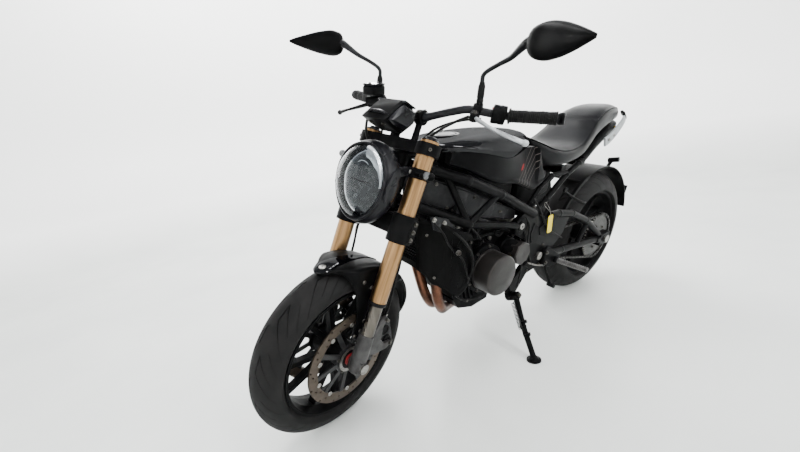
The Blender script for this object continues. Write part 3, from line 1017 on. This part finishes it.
for path, r in (([[1092, 120, 672], [1066, 160, 640], [1040, 176, 606], [1010, 178, 560], [1000, 176, 500],
                  [1010, 160, 430]], 4.5),
                ([[1136, 128, 690], [1110, 146, 650], [1092, 152, 610], [1074, 166, 580], [1046, 176, 545],
                  [1020, 178, 470]], 3.2),
                ([[1000, 140, 650], [975, 160, 620], [950, 158, 590], [930, 140, 575], [900, 128, 560]],
                 4.0)):
    cowls += pair(grip_rubber, tube(curve(path, 8), r, 10))
for x0, y0, z0 in ((1142, 106, 640), (1006, 168, 596), (1122, 122, 486)):
    cowls += pair(screw_steel, screw([x0, y0, z0], (0.6 if x0 > 1050 else 0, 1, 0), 3.6))
cowls += pair(plastic, slab([(1096, 540), (1112, 540), (1112, 580), (1096, 580)], 95.3, 118, 1))
piece("radiator_side_cowls", "chassis", cowls, ["radiator_shrouds"], 40)

# ---- Fork feet and calipers ------------------------------------------------------------------
# Ground inner tubes, dusty cast feet with an arm for the caliper, rubber seals under the anodised
# tubes, top caps, and the clamp screws of both yokes.
stanchion_steel = surface("fork_tube_ground_steel", "#6b665f", "#4c4843", (0.22, 0.36), 1.0, blotch=40,
                          grain=0.6, depth=0.004, stretch=(1, 1, 0.1))
cast_foot = surface("cast_aluminium_dusty", "#3c3b3b", "#2a2929", (0.45, 0.6), 0.6, blotch=30, grain=0.9,
                    depth=0.05)
legs = [(stanchion_steel, lathe([(40, 21.4), (230, 21.4)], (LEG_X, LEG_Y, 0), (0, 0, 1), 40)),
        (cast_foot, lathe([(-27, 12), (-26, 20), (-18, 25), (-4, 26.4), (22, 26.4), (60, 25.2), (96, 24.6),
                           (102, 24.6), (104, 22), (104, 21.2)],
                          (LEG_X, LEG_Y, 0), (0, 0, 1), 40)),
        (grip_rubber, lathe([(203, 21.6), (203, 25), (206, 27.5), (213.5, 28.6), (216, 28.2), (216, 27.1)],
                            (LEG_X, LEG_Y, 0), (0, 0, 1), 40)),
        (anodised_black, lathe([(704, 26.6), (708, 26.6), (711, 24), (711, 16), (717, 15.5), (718, 14),
                                (718, 7), (714, 6), (714, 0)],
                               (LEG_X, LEG_Y, 0), (0, 0, 1), 40)),
        (cast_foot, slab([(30, 26), (6, 16), (-40, 22), (-92, 34), (-110, 56), (-100, 64), (-70, 58),
                          (-46, 74), (-38, 124), (-48, 152), (-34, 160),
                          (-16, 150), (-8, 120), (10, 96), (26, 88)], 101.3, 113.5, 3.0)),
        (cast_foot, slab([(20, -18), (54, -18), (54, 18), (20, 18)], 84, 137, 6.0)),
        (steel, lathe([(137, 17), (141, 17), (143, 15), (143, 9), (139, 8), (139, 0)], (LEG_X, 0, 0),
                      (0, 1, 0), 24)),
        (screw_steel, screw([-101, 113.5, 56], (0, 1, 0), 5.5)),
        (screw_steel, screw([-38, 113.5, 148], (0, 1, 0), 5.5)),
        (screw_steel, screw([47, 122, -24], (0, 0, -1), 4))]
for z0 in (424, 448, 472):
    legs.append((screw_steel, screw([30, 148, z0], (0.1, 1, 0), 5.5)))
legs.append((cast_black, slab([(14, 412), (46, 412), (46, 484), (14, 484)], 138, 148, 3)))
legs.append((screw_steel, screw([60, 134, 681], (0.6, 0.8, 0), 5)))
feet = [part for mat, shell in legs for part in pair(mat, shell, fork)]
piece("fork_feet_and_seals", "steering", feet, ["fork_feet"], 40)


def by_caliper(p):
    """Points of the caliper's own frame, turned 35 degrees round the front axle, as row-frame metres."""
    p = np.asarray(p, float)
    c, s = math.cos(math.radians(35)), math.sin(math.radians(35))
    return fork(np.stack([LEG_X + c * p[..., 0] + s * p[..., 2], p[..., 1], c * p[..., 2] - s * p[..., 0]],
                         -1))


outline = [(-174, -50), (-166, -56), (-124, -56), (-116, -46), (-116, 46), (-124, 56), (-166, 56),
           (-174, 50)]
half_body, inner_body = slab(outline, 79, 100, 4), slab(outline, 46, 61.5, 4)
bridge = slab([(-176, -34), (-166, -34), (-166, 34), (-176, 34)], 56, 84, 2)
calipers = [part for shell in (half_body, inner_body, bridge) for part in pair(satin, shell, by_caliper)]
for z0 in (-24, 24):
    calipers += pair(cast_black, lathe([(100, 19), (102, 19), (104, 17), (104, 12), (102, 11), (102, 0)],
                                       (-143, 0, z0), (0, 1, 0), 32), by_caliper)
for z0 in (-49, 49):
    calipers += pair(screw_steel, screw([-164, 100, z0], (0, 1, 0), 4.5), by_caliper)
piece("front_calipers_cast", "steering", calipers, ["front_calipers"], 40)

# ---- Wheel fittings --------------------------------------------------------------------------
# Floating buttons on the discs, a slotted sensor ring, a red dust cap, hub faces and air valves,
# and the toothed rim of the rear sprocket.
cap_red = surface("dust_cap_red", "#7a1414", "#5e1010", (0.35, 0.5), blotch=10, grain=1.0, depth=0.01)


def ring_of(turn, rows):
    """A ring round Y: at each turn a, the points r cos a, h, r sin a of the rows' radii r and
    distances h."""
    return grid(np.stack([np.stack([r * np.cos(turn), h + 0 * turn, r * np.sin(turn)], -1)
                          for r, h in rows], 1),
                (True, True), (False, False))


fit = []
for side in (1, -1):
    y0 = side * 73.2
    for k in np.arange(10) * math.pi / 5:
        c = [126 * math.cos(k), y0, 126 * math.sin(k)]
        fit.append((steel, placed(lathe([(-0.5, 7.8), (1.2, 7.8), (2.0, 7.0), (2.0, 4.4), (0.8, 4.0),
                                         (0.8, 0)], c, (0, side, 0), 16), front_wheel)))
    for k in np.arange(5) * math.pi * 0.4:
        fit.append((screw_steel, placed(screw([48 * math.cos(k), y0, 48 * math.sin(k)], (0, side, 0), 4),
                                        front_wheel)))
slots = 48
turn = np.linspace(0, 2 * math.pi, 4 * slots + 1)[:-1]
notch = np.where(np.arange(4 * slots) % 4 < 2, 37, 38.6)
sensor = ring_of(turn, ((34, 76.4), (34, 78.2), (notch, 78.2), (notch, 77.2), (42, 77.2), (42, 78.2),
                        (44.5, 78.2), (44.5, 76.4)))
fit.append((steel, placed(sensor, front_wheel)))
fit.append((cap_red, placed(lathe([(76, 22), (79.5, 22), (80.5, 20.5), (80.5, 13)], (0, 0, 0), (0, 1, 0),
                                  32), front_wheel)))
fit.append((cast_black, placed(lathe([(74, 33), (77.6, 33), (77.6, 22), (79.8, 14), (79.8, 12.2)],
                                     (0, 0, 0), (0, 1, 0), 40), front_wheel)))
fit.append((grip_rubber,
            placed(tube([[205, 8, 0], [196, 8, 0], [186, 12, 0], [172, 20, 0]], [5, 4, 3.6, 3.6], 12),
                   front_wheel)))
piece("front_wheel_fittings", "front_wheel", fit)
fit = [(grip_rubber, placed(tube([[205, 8, 0], [196, 10, 0], [186, 16, 0], [172, 26, 0]], [5, 4, 3.6, 3.6],
                                 12), rear_wheel))]
for k in np.arange(10) * math.pi / 5:
    fit.append((steel, placed(lathe([(0, 7.8), (1.2, 7.8), (2, 7), (2, 4.4), (0.8, 4), (0.8, 0)],
                                    [100 * math.cos(k), -110, 100 * math.sin(k)], (0, -1, 0), 16),
                                    rear_wheel)))
for k in np.arange(5) * math.pi * 0.4:
    fit.append((screw_steel, placed(screw([58 * math.cos(k), 112, 58 * math.sin(k)], (0, 1, 0), 5),
                                    rear_wheel)))
teeth = 45
turn = np.linspace(0, 2 * math.pi, 6 * teeth + 1)[:-1]
tip_r = 108.5 + 5.0 * np.clip(np.cos(turn * teeth) * 1.6, -1, 1)
gear = ring_of(turn, ((96, 105), (tip_r - 1, 105), (tip_r, 106.5), (tip_r, 109.5), (tip_r - 1, 111),
                      (96, 111)))
fit.append((steel, placed(gear, rear_wheel)))
piece("rear_wheel_fittings", "rear_wheel", fit)

# ---- Seat ------------------------------------------------------------------------------------
# Foam pad in grained vinyl: scooped for the rider, crowned, rising to the passenger's pad, with a
# welted border along each side and a cross seam. A lofted closed form; it clears its neighbours.
leather = surface("seat_vinyl_grained", "#09090a", "#101012", (0.3, 0.42), blotch=50, grain=1.4, depth=0.08,
                  ior=1.24)
rows = curve([[-112, 868, 886, 30, 0.4], [-92, 862, 912, 56, 0.5], [-20, 850, 938, 80, 0.5],
              [80, 830, 938, 96, 0.5], [170, 802, 908, 108, 0.5], [240, 776, 858, 120, 0.6],
              [320, 752, 820, 134, 0.6], [420, 742, 812, 140, 0.7], [500, 744, 830, 130, 0.7],
              [548, 764, 858, 100, 0.6], [572, 796, 871, 62, 0.5]], 9)
ring = lofted(rows, 96, 0.6)
b = np.linspace(0, 2 * math.pi, 97)[:-1]
x = rows[:, :1]
upper = np.sin(b) > 0
scoop = np.exp(-((x - 400) / 110) ** 2)
ring[..., 2] -= np.where(upper, 7 * scoop * np.clip(np.sin(b), 0, 1) ** 6, 0)
from_crown = np.abs(b - math.pi / 2)
welt = 3.0 * np.exp(-((from_crown - 0.98) / 0.035) ** 2) - 3.5 * np.exp(-((from_crown - 1.06) / 0.03) ** 2)
cross = -4.0 * np.exp(-((x - 188 + 34 * np.cos(b) ** 2) / 4.5) ** 2) * upper * (np.sin(b) > 0.5)
middle = np.stack([rows[:, 0], 0 * rows[:, 0], (rows[:, 1] + rows[:, 2]) / 2], -1)[:, None]
away = ring - middle
lift = np.where(upper, welt, 0) + cross - 1.0
ring = ring + away / np.linalg.norm(away, axis=-1, keepdims=True) * lift[..., None]
seat = piece("seat_padded", "chassis", [(leather, placed(grid(ring)))], ["seat"], 70)

# ---- Handlebar and controls ------------------------------------------------------------------
# Bent tapered bar in its clamps, switch pods with buttons, ribbed grips, knurled end weights,
# a silver clutch lever, a black brake lever with its fluid reservoir, and their hoses.
def rounded(points, cut):
    """A polyline with each corner cut back and rounded: p - c F, the mean of p and its cuts, p + c G."""
    p = np.asarray(points, float)
    d = np.diff(p, axis=0)
    d /= np.linalg.norm(d, axis=1, keepdims=True)
    before, after = p[1:-1] - cut * d[:-1], p[1:-1] + cut * d[1:]
    inner = np.stack([before, p[1:-1] * 0.5 + (before + after) * 0.25, after], 1).reshape(-1, p.shape[1])
    return np.vstack([p[:1], inner, p[-1:]])


side_path = np.array([[1120, 50, 992], [1100, 110, 1010], [1070, 160, 1023], [1022, 250, 1009],
                      [983, 377, 1012]], float)
bar_line = curve(rounded(np.vstack([side_path[::-1], side_path * [1, -1, 1]]), 16), 5)
taper = 11 + 3.3 / (1 + np.exp((np.abs(bar_line[:, 1]) - 62) / 5))
out = unit(side_path[4] - side_path[3])
tip = side_path[4]
h = np.linspace(0, 16, 33)
knurl_r = np.where((h > 2.5) & (h < 13) & (np.arange(33) % 2 == 1), 15.8,
                   np.where((h > 1) & (h < 15), 15.2, 14.4))
knurl = [(-1.6, 11)] + list(zip(h, knurl_r)) + [(16, 5), (13, 4.6), (13, 0)]
up = to_fork([1120, 0, 992])
bar = [(satin, placed(tube(bar_line, taper, 20), steered))]
bar += pair(anodised_black, lathe(knurl, tip, out, 32), steered)
clamp = [(30, 14.4), (30, 21), (32, 22), (52, 22), (54, 21), (54, 14.4)]
bar += pair(cast_black, lathe(clamp, (1120, 0, 992), (0, 1, 0), 40), steered)
bar += pair(cast_black, lathe([(698.3, 13), (702, 13), (704, 10), (up[2] - 6, 10)], (up[0], 42, 0),
                              (0, 0, 1), 24), fork)
for x0, z0 in ((1104, 1008), (1136, 1010)):
    bar += pair(screw_steel, screw([x0, 42, z0], (0, 0, 1), 4.5), steered)
piece("handlebar_bent", "steering", bar, ["handlebar"], 40)

start = side_path[3] + 0.08 * (tip - side_path[3])
length = 0.905 * np.linalg.norm(tip - side_path[3])
h = np.linspace(6, length - 5, 150)
rib = 16.9 - 1.5 * (np.mod(h, 4.6) < 1.9) * (np.mod(h, 40) > 5)
foot, end_cap = [(0, 11.4), (0, 20), (3, 21), (5, 17)], [(length - 4, 17.6), (length, 17), (length, 11.4)]
grip_form = foot + list(zip(h, rib)) + end_cap
piece("grips_ribbed", "steering", pair(grip_rubber, lathe(grip_form, start, out, 28), steered), ["grips"],
      30)

inner_end = side_path[3] + 0.34 * (side_path[2] - side_path[3])
outer_end = side_path[3] + 0.03 * (tip - side_path[3])
pod_path = curve([inner_end + f * (outer_end - inner_end) for f in (0, 0.12, 0.5, 0.88, 1)], 4)
pod_r = np.interp(np.linspace(0, 1, len(pod_path)), [0, 0.06, 0.2, 0.48, 0.5, 0.52, 0.8, 0.94, 1],
                  [15, 22, 25, 25, 24, 25, 25, 22, 15])
pods = pair(plastic, tube(pod_path, pod_r, 28), steered)
mid = (inner_end + outer_end) / 2
for dy, dx, dz, r in ((-9, -24, 5, 6), (6, -24, 6, 5), (-2, -20, -12, 7), (-10, -12, -20, 5), (8, 8, 23, 6),
                      (-8, 16, 18, 4)):
    button_at = mid + [dx * 0.92, dy * 1.2, dz * 0.92]
    button = lathe([(-4, r), (2.6, r), (3.6, r - 1.2), (3.6, 0)], button_at, (dx, 0, dz), 14)
    pods += pair(satin if r > 4 else cap_red, button, steered)
clamp_a = side_path[3] + 0.62 * (side_path[2] - side_path[3])
clamp_b = side_path[3] + 0.86 * (side_path[2] - side_path[3])
clamp_path = [clamp_a + f * (clamp_b - clamp_a) for f in (0, 0.08, 0.92, 1)]
pods += pair(cast_black, tube(clamp_path, [15, 19, 19, 15], 28), steered)
pods += pair(cast_black, lathe([(0, 11), (18, 10.6), (22, 9.4), (22.2, 0)], (1055, 188, 1018), (0, 0, 1),
                               24), steered)
pods += pair(cast_black, tube(curve([[1060, 184, 1019], [1074, 189, 1016], [1090, 194, 1008]], 4), 10.5,
                              18), steered)
pods += pair(cast_black, lathe([(-11, 8), (-10, 12), (10, 12), (11, 8)], (1091, 196, 1008), (0.2, 0.25, 1),
                               24), steered)
pods += pair(screw_steel, screw([1093, 199, 1019], (0.2, 0.25, 1), 5), steered)
lever = curve([[1088, 190, 1009, 17], [1095, 210, 1003, 16], [1104, 250, 991, 13], [1106, 300, 977, 12.5],
               [1100, 336, 967, 12], [1095, 350, 963, 11]], 8)
lever_blade = strap(lever[:, :3], lever[:, 3], 8.5, 2.5)
ball = lathe([(-9, 1), (-7.6, 5), (-4, 8), (0, 9), (4, 8), (7.6, 5), (9, 1)], (1095, 350, 963),
             (0, 1, -0.3), 20)
pods += [(mat, placed(shell, steered, side)) for side, mat in ((1, silver), (-1, cast_black))
         for shell in (lever_blade, ball)]
rect = [(1075, -198), (1080, -201), (1120, -201), (1125, -198), (1127, -194), (1127, -150), (1125, -146),
        (1120, -143), (1080, -143), (1075, -146), (1073, -150), (1073, -194)]
pods += [(plastic, placed(slab(rect, 1036, 1065, 4, axis=2), steered)),
         (satin, placed(slab(rect, 1065.5, 1072, 2.5, axis=2), steered))]
pods += [(screw_steel, placed(screw([x0, -172, 1072], (0, 0, 1), 3.4), steered)) for x0 in (1082, 1118)]
pods += [(cast_black, placed(tube(curve([[1064, -172, 1020], [1078, -172, 1030], [1094, -172, 1038]], 4),
                                  9.5, 18), steered))]
pods += [(cast_black, placed(lathe([(-34, 8), (-32, 13), (30, 13), (33, 10), (36, 10), (36, 6)],
                                   (1092, -170, 1020), (-0.25, 1, 0.1), 24), steered))]
hoses = ([[1084, -140, 1022], [1130, -128, 1016], [1176, -118, 990], [1202, -106, 952], [1206, -90, 914]],
         [[1082, 176, 1006], [1112, 152, 992], [1146, 122, 968], [1172, 94, 938], [1184, 74, 906]],
         [[1050, 196, 998], [1080, 160, 994], [1112, 124, 982], [1138, 94, 962], [1158, 76, 930],
          [1170, 66, 906]],
         [[1050, -200, 1000], [1082, -158, 1000], [1118, -112, 985], [1150, -86, 958], [1166, -72, 926],
          [1174, -62, 906]])
pods += [(grip_rubber, placed(tube(curve(p, 8), r, 12), steered))
         for p, r in zip(hoses, (4.5, 4, 3.5, 3.5))]
piece("controls_and_levers", "steering", pods, ["controls"], 40)

# ---- Instrument ------------------------------------------------------------------------------
# Angular moulded pod with a hood, two screws in its back, and a dark glass screen for the rider,
# on a post at the fork's crown.
pod = [(plastic, placed(slab([(1284, 1006), (1244, 1031), (1208, 1046), (1160, 1024), (1154, 1008),
                              (1162, 972), (1204, 957), (1250, 982)], -44, 44, 7), steered)),
       (satin, placed(slab([(1268, 1005), (1236, 1025), (1208, 1036), (1166, 1015), (1172, 980),
                            (1206, 970), (1246, 988)], -60, 60, 9), steered)),
       (projector_glass, placed(slab([(1206, 1042), (1162, 1020), (1160, 1024), (1204, 1047)], -52, 52,
                                     1.5), steered)),
       (plastic, placed(slab([(35, 698.3), (51, 698.3), (51, 744), (35, 744)], -22, -2, 2), fork)),
       (satin, placed(tube(curve([[1262, -40, 1014], [1266, -20, 1022], [1266, 20, 1022], [1262, 40, 1014]],
                                 5), 4, 10), steered))]
pod += [(screw_steel, placed(screw([1262, y0, 993], (0.75, 0, -0.66), 5.5), steered)) for y0 in (-24, 24)]
piece("instrument_pod", "steering", pod, ["instrument"], 35)

# ---- Front indicators and hoses --------------------------------------------------------------
# Small bullet lamps on rubber stalks beside the fork, and two brake hoses that run down behind
# each leg to its caliper.
smoked_lens = surface("indicator_lens_smoked", "#3c3d3e", "#565758", (0.12, 0.2), blotch=8, grain=3.0,
                      depth=0.05)
lamps = []
for side in (1, -1):
    boot = curve([[70, 140 * side, 606], [74, 146 * side, 606], [76, 152 * side, 607]], 4)
    lamps += [(grip_rubber, placed(tube(boot, [6, 6.5, 7, 7.5, 8, 8.5, 9, 9, 9], 16), fork)),
              (plastic, placed(lathe([(0, 7), (6, 11.6), (26, 12), (34, 9), (38, 3)], (76, 150 * side, 607),
                                     (0.05, side, 0.08), 24), fork)),
              (smoked_lens, placed(lathe([(0, 9), (2, 11), (8, 11.5), (14, 10), (16, 6), (16.5, 0)],
                                         (74, 168 * side, 608), (1, 0, 0.1), 24), fork))]
    stalk = curve([[62, 104 * side, 606], [66, 120 * side, 606], [70, 142 * side, 606]], 4)
    lamps.append((plastic, placed(tube(stalk, 6, 14), fork)))
piece("front_indicator_lamps", "steering", lamps, ["front_indicators"], 40)
lines = []
for dx, dy in ((0, 0), (9, 7)):
    line = curve([[-51, 90 + dy, 130 if dx == 0 else 158], [-45, 91 + dy, 150], [-34 - dx, 95 + dy, 190],
                  [-22 - dx, 97 + dy, 260], [-14 - dx, 97 + dy, 340], [-8, 96 + dy * 0.5, 389],
                  [-8, 96, 405]], 8)
    lines += pair(grip_rubber, tube(line, 3.8, 12), fork)
    lines += pair(steel, lathe([(-5, 3.8), (-5, 5.4), (5, 5.4), (5, 3.8)], line[2], line[3] - line[2], 12),
                  fork)
piece("brake_hoses_pair", "steering", lines, ["brake_hoses"])

# ---- Footrests and shift lever ---------------------------------------------------------------
# Black cast brackets outside the swingarm with serrated light alloy pegs, and the lever with its
# rubber and its rod.
pegs = []
bracket = [(500, 332), (452, 328), (430, 344), (430, 368), (470, 396), (532, 438), (552, 424), (550, 352)]
root, end = np.array([466, 166, 356.0]), np.array([452, 300, 352.0])
way = unit(end - root)
h = np.linspace(14, np.linalg.norm(end - root) - 2, 61)
teeth_r = 12 - 2.6 * (np.mod(np.arange(61), 4) < 2)
for side in (1, -1):
    for m, shell in ((cast_black, slab(bracket, 158, 169, 2.5)),
                     (cast_black, slab([(536, 362), (551, 360), (551, 424), (540, 429)], 152.4, 159, 1)),
                     (cast_black, lathe([(-4, 13), (0, 15), (10, 15), (13, 12)], root, way, 20)),
                     (cast_grey, lathe([(12, 8)] + list(zip(h, teeth_r)) + [(h[-1] + 1, 9), (h[-1] + 2, 0)],
                                       root, way, 12)),
                     (screw_steel, screw([540, 169, 366], (0, 1, 0), 6)),
                     (screw_steel, screw([540, 169, 412], (0, 1, 0), 6)),
                     (screw_steel, screw([446, 169, 356], (0, 1, 0), 4)),
                     (cast_black, tube(curve([[540, 172, 352], [546, 180, 334], [552, 200, 306],
                                              [556, 214, 286]], 6), 5.5, 12)),
                     (grip_rubber, lathe([(0, 7), (2, 8.5), (30, 8.5), (32, 7)], (556, 200, 286), (0, 1, 0),
                                         16)),
                     (steel, tube([[540, 166, 352], [600, 160, 372], [650, 152, 398]], 3.6, 10))):
        pegs.append((m, placed(shell, side=side)))
piece("footrests_serrated", "chassis", pegs, ["footrests"], 35)

# ---- Frame fittings --------------------------------------------------------------------------
# Screws, caps, lugs and wiring on the trellis and its carrier plates, an electrics box under the
# seat, and a blank yellow tag wired to the left rail.
tag_yellow = surface("card_tag_yellow", "#d1bb12", "#bda70e", (0.5, 0.6), blotch=20, grain=1.5, depth=0.02)
fit = []
plates = [(648, 628), (592, 586), (568, 520), (550, 445), (541, 392), (562, 362), (640, 356), (690, 310)]
for side in (1, -1):
    for m, shell in (
        (cast_black, lathe([(150, 34), (155, 34), (157, 31), (157, 22), (154, 20), (154, 0)], (720, 0, 573),
                           (0, 1, 0), 40)),
        (steel, lathe([(154, 13), (161, 13), (163, 11), (163, 6), (158, 5.5), (158, 0)], (720, 0, 573),
                      (0, 1, 0), 6)),
        (steel, lathe([(160, 17), (162, 17), (163, 15), (163, 8), (166, 7), (166, 0)], (575, 0, 405),
                      (0, 1, 0), 6)),
        (cast_black, slab([(630, 560), (600, 540), (590, 500), (606, 470), (640, 480), (650, 520)], 152,
                          155, 1.2)),
        (cast_black, slab([(560, 486), (520, 520), (470, 552), (500, 560), (560, 552), (600, 530),
                           (590, 500)], 150, 158, 3)),
        (cast_black, slab([(668, 390), (640, 372), (600, 372), (610, 392), (650, 402)], 152, 156, 1.5)),
    ):
        fit.append((m, placed(shell, side=side)))
    for x0, z0 in plates:
        fit.append((screw_steel, placed(screw([x0, side * 152, z0], (0, side, 0), 4.5))))
    for path, r in (([[690, 150, 600], [670, 158, 560], [672, 160, 510], [660, 158, 460], [640, 156, 420],
                      [620, 156, 380]], 4),
                    ([[640, 140, 660], [612, 150, 620], [588, 158, 576], [560, 160, 536], [520, 158, 500],
                      [470, 158, 470], [420, 158, 440]], 3.5),
                    ([[700, 150, 560], [686, 160, 520], [690, 158, 470], [684, 156, 420], [700, 162, 360],
                      [716, 168, 320]], 3)):
        fit.append((grip_rubber, placed(tube(curve(np.array(path) * [1, side, 1], 8), r, 10))))
    rod_eye = lathe([(-4, 6), (-4, 11), (4, 11), (4, 6)], (352, 104 * side, 624), (0, 1, 0), 24)
    fit.append((cast_black, placed(rod_eye)))
    fit.append((cast_black, placed(
        tube(curve([[350, 104 * side, 616], [300, 103 * side, 588], [220, 101 * side, 548],
                    [150, 96 * side, 520], [118, 84 * side, 512]], 6), 5, 12))))
electrics = curve([[436, 640, 726, 60, 0.9], [450, 626, 736, 80, 0.95], [560, 606, 752, 84, 0.95],
                   [640, 606, 770, 80, 0.95], [656, 620, 764, 64, 0.9]], 4)
fit.append((plastic, placed(grid(lofted(electrics, 40, 0.7)))))
fit.append((tag_yellow, placed(slab([(560, 576), (535, 577), (532, 570), (528, 506), (532, 502), (553, 501),
                                     (558, 506), (563, 570)], 166, 167.6, 0.4))))
fit.append((steel, placed(
    tube(curve([[548, 167, 572], [550, 164, 590], [556, 156, 612], [562, 146, 628], [556, 140, 612],
                [549, 160, 590], [547, 167, 574]], 6), 0.9, 6))))
piece("frame_fittings_and_wiring", "chassis", fit, angle=35)

# ---- Chain -----------------------------------------------------------------------------------
# Pressed steel links on their pins, round both sprockets: outer and inner plates by turns, and
# the cap of the front sprocket.
pitch, rear_r, front_r = 15.875, 113.79, 40.69  # of the chain and of its line on each sprocket
REAR_SPROCKET, FRONT_SPROCKET, CHAIN_Y = np.array([0, REAR_R]), np.array([655.0, 440.0]), 108
gap = FRONT_SPROCKET - REAR_SPROCKET
span = np.linalg.norm(gap)
lean_up = math.atan2(gap[1], gap[0])
tilt_off = math.asin((rear_r - front_r) / span)
straight = span * math.cos(tilt_off)
total = 2 * straight + rear_r * (math.pi + 2 * tilt_off) + front_r * (math.pi - 2 * tilt_off)
count = 2 * round(total / pitch / 2)
s = (np.arange(count) + 0.5) / count * total
top_a, low_a = lean_up + math.pi / 2 + tilt_off, lean_up - math.pi / 2 - tilt_off
marks = np.cumsum([straight, front_r * (math.pi - 2 * tilt_off), straight,
                   rear_r * (math.pi + 2 * tilt_off)])


def on_chain(s):
    """Where the chain's line is after s: along the top run, round the front, back below, round the rear."""
    s = np.mod(s, total)[:, None]
    face = lambda a: np.stack([np.cos(a), np.sin(a)], -1).reshape(-1, 2)
    start_top = REAR_SPROCKET + rear_r * face(np.array([top_a]))
    start_low = FRONT_SPROCKET + front_r * face(np.array([low_a]))
    top_way = (FRONT_SPROCKET + front_r * face(np.array([top_a])) - start_top) / straight
    low_way = (REAR_SPROCKET + rear_r * face(np.array([low_a])) - start_low) / straight
    top_run, low_run = start_top + top_way * s, start_low + low_way * (s - marks[1])
    front_arc = FRONT_SPROCKET + front_r * face((top_a - (s - marks[0]) / front_r)[:, 0])
    rear_arc = REAR_SPROCKET + rear_r * face((low_a - (s - marks[2]) / rear_r)[:, 0])
    return np.where(s < marks[0], top_run,
                    np.where(s < marks[1], front_arc, np.where(s < marks[2], low_run, rear_arc)))


a_pt, b_pt = on_chain(s - pitch / 2), on_chain(s + pitch / 2)
mid, way = (a_pt + b_pt) / 2, (b_pt - a_pt)
way /= np.linalg.norm(way, axis=1, keepdims=True)
nor = np.stack([-way[:, 1], way[:, 0]], -1)
k = np.linspace(0, 2 * math.pi, 13)[:-1]
waist = 1 - 0.25 * (np.abs(np.cos(k)) < 0.4)
link = np.stack([np.cos(k) * 6.6 + np.sign(np.cos(k)) * pitch / 2 * 0.98, np.sin(k) * 6.6 * waist], -1)
flat = mid[:, None] + link[None, :, :1] * way[:, None] + link[None, :, 1:] * nor[:, None]


def prisms(outline, low, high):
    """A flat prism for each link: its outline[i, j] in X and Z, from distance low to high along Y."""
    n, m = outline.shape[:2]
    ids = np.arange(n * m).reshape(n, m)
    ends = [np.stack([outline[..., 0], 0 * outline[..., 0] + np.reshape(y, (-1, 1)), outline[..., 1]], -1)
            for y in (low, high)]
    quads = np.stack([ids, np.roll(ids, -1, 1), np.roll(ids, -1, 1) + n * m, ids + n * m], -1).reshape(-1,
        4)
    return np.concatenate(ends).reshape(-1, 3), quads, [e for row in ids for e in (row[::-1], row + n * m)]


links = []
for side in (1, -1):
    plate_y = CHAIN_Y + np.where(np.arange(count) % 2, 7.8, 5.6) * side
    links.append((chain_steel, placed(prisms(flat, plate_y - 0.9, plate_y + 0.9))))
pins = a_pt[:, None] + 3.6 * np.stack([np.cos(k), np.sin(k)], -1)
links.append((chain_steel, placed(prisms(pins, CHAIN_Y - 9.6, CHAIN_Y + 9.6))))
links.append((steel, placed(lathe([(94.3, 30), (114, 30), (114, 12), (117, 11), (117, 0)], (655, 0, 440),
                                  (0, 1, 0), 32))))
piece("chain_links", "chassis", links, ["chain"], 50)

# ---- Side stand spring -----------------------------------------------------------------------
# Drawn wire coiled along the front of the leg with its two hooks, the pivot's screw and two bands
# round the leg. It is drawn from the stand's own points, so it follows the pose they are packed in.
def coil(start, end, radius, wire, turns):
    """A spring: its axis point plus (R + r cos a) outward and r sin a along the axis, as the angle runs."""
    run = np.asarray(end, float) - start
    w = unit(run)
    u = unit(np.cross(w, [0.3, 1, 0.2]))
    v = np.cross(w, u)
    th = np.linspace(0, 2 * math.pi * turns, 22 * turns)[:, None, None]
    a = np.linspace(0, 2 * math.pi, 9)[:-1, None]
    out = np.cos(th) * u + np.sin(th) * v
    return grid(start + run * th / th.max() + wire * np.sin(a) * w + out * (radius + wire * np.cos(a)))


vertices = bpy.data.objects["side_stand"].data.vertices
stand_points = np.empty(3 * len(vertices))
vertices.foreach_get("co", stand_points)
stand_points = stand_points.reshape(-1, 3) * 1000
pivot = np.array(joints["side_stand_fold"]["pos_m"]) * 1000
ankle = stand_points[stand_points[:, 2] < 18].mean(0)
leg = unit(ankle - pivot)
ahead = unit(bike_x - (bike_x @ leg) * leg)
hinge = unit(joints["side_stand_fold"]["axis"])
top_hook, low_hook = pivot + 26 * leg + 27 * ahead, pivot + 128 * leg + 24 * ahead
stand = [coil(top_hook, low_hook, 6.6, 1.5, 19),
         tube(np.array([top_hook, top_hook - 12 * ahead - 6 * leg, top_hook - 24 * ahead - 8 * leg]), 2, 8),
         tube(np.array([low_hook, low_hook - 10 * ahead + 6 * leg, low_hook - 24 * ahead + 8 * leg]), 2, 8)]
stand = [(chain_steel, (p / 1000, q, e)) for p, q, e in stand]
for way in (1, -1):
    p, q, e = lathe([(14, 9), (21, 9), (23, 7.4), (23, 4), (19, 3.6), (19, 0)], (0, 0, 0), hinge * way, 6)
    stand.append((screw_steel, ((pivot + p) / 1000, q, e)))
for s in (0.42, 0.62):
    p, q, e = lathe([(-5, 11.5), (-5, 14.6), (5, 14.6), (5, 11.5)], (0, 0, 0), leg, 24)
    stand.append((cast_black, ((pivot + s * (ankle - pivot) + p) / 1000, q, e)))
piece("side_stand_spring", "side_stand", stand, angle=40)

# ---- Inner guards ----------------------------------------------------------------------------
# Moulded black guards behind the subframe's rails, between the shock absorber and the rear wheel,
# with two pressed ribs and their screws.
guard = np.array([(396, 566), (452, 556), (520, 600), (562, 672), (540, 706), (474, 716), (404, 676),
                  (384, 620)], float)
guards = pair(plastic, slab(guard, 58, 62, 1.5))
for z0 in (620, 652):
    guards += pair(plastic, slab(np.array([(410, z0), (530, z0 + 24), (530, z0 + 31), (410, z0 + 7)],
                                          float), 61, 66, 1.5))
for x0, z0 in ((412, 590), (520, 690)):
    guards += pair(screw_steel, screw([x0, 62, z0], (0, 1, 0), 6))
piece("inner_guards_moulded", "chassis", guards, angle=35)
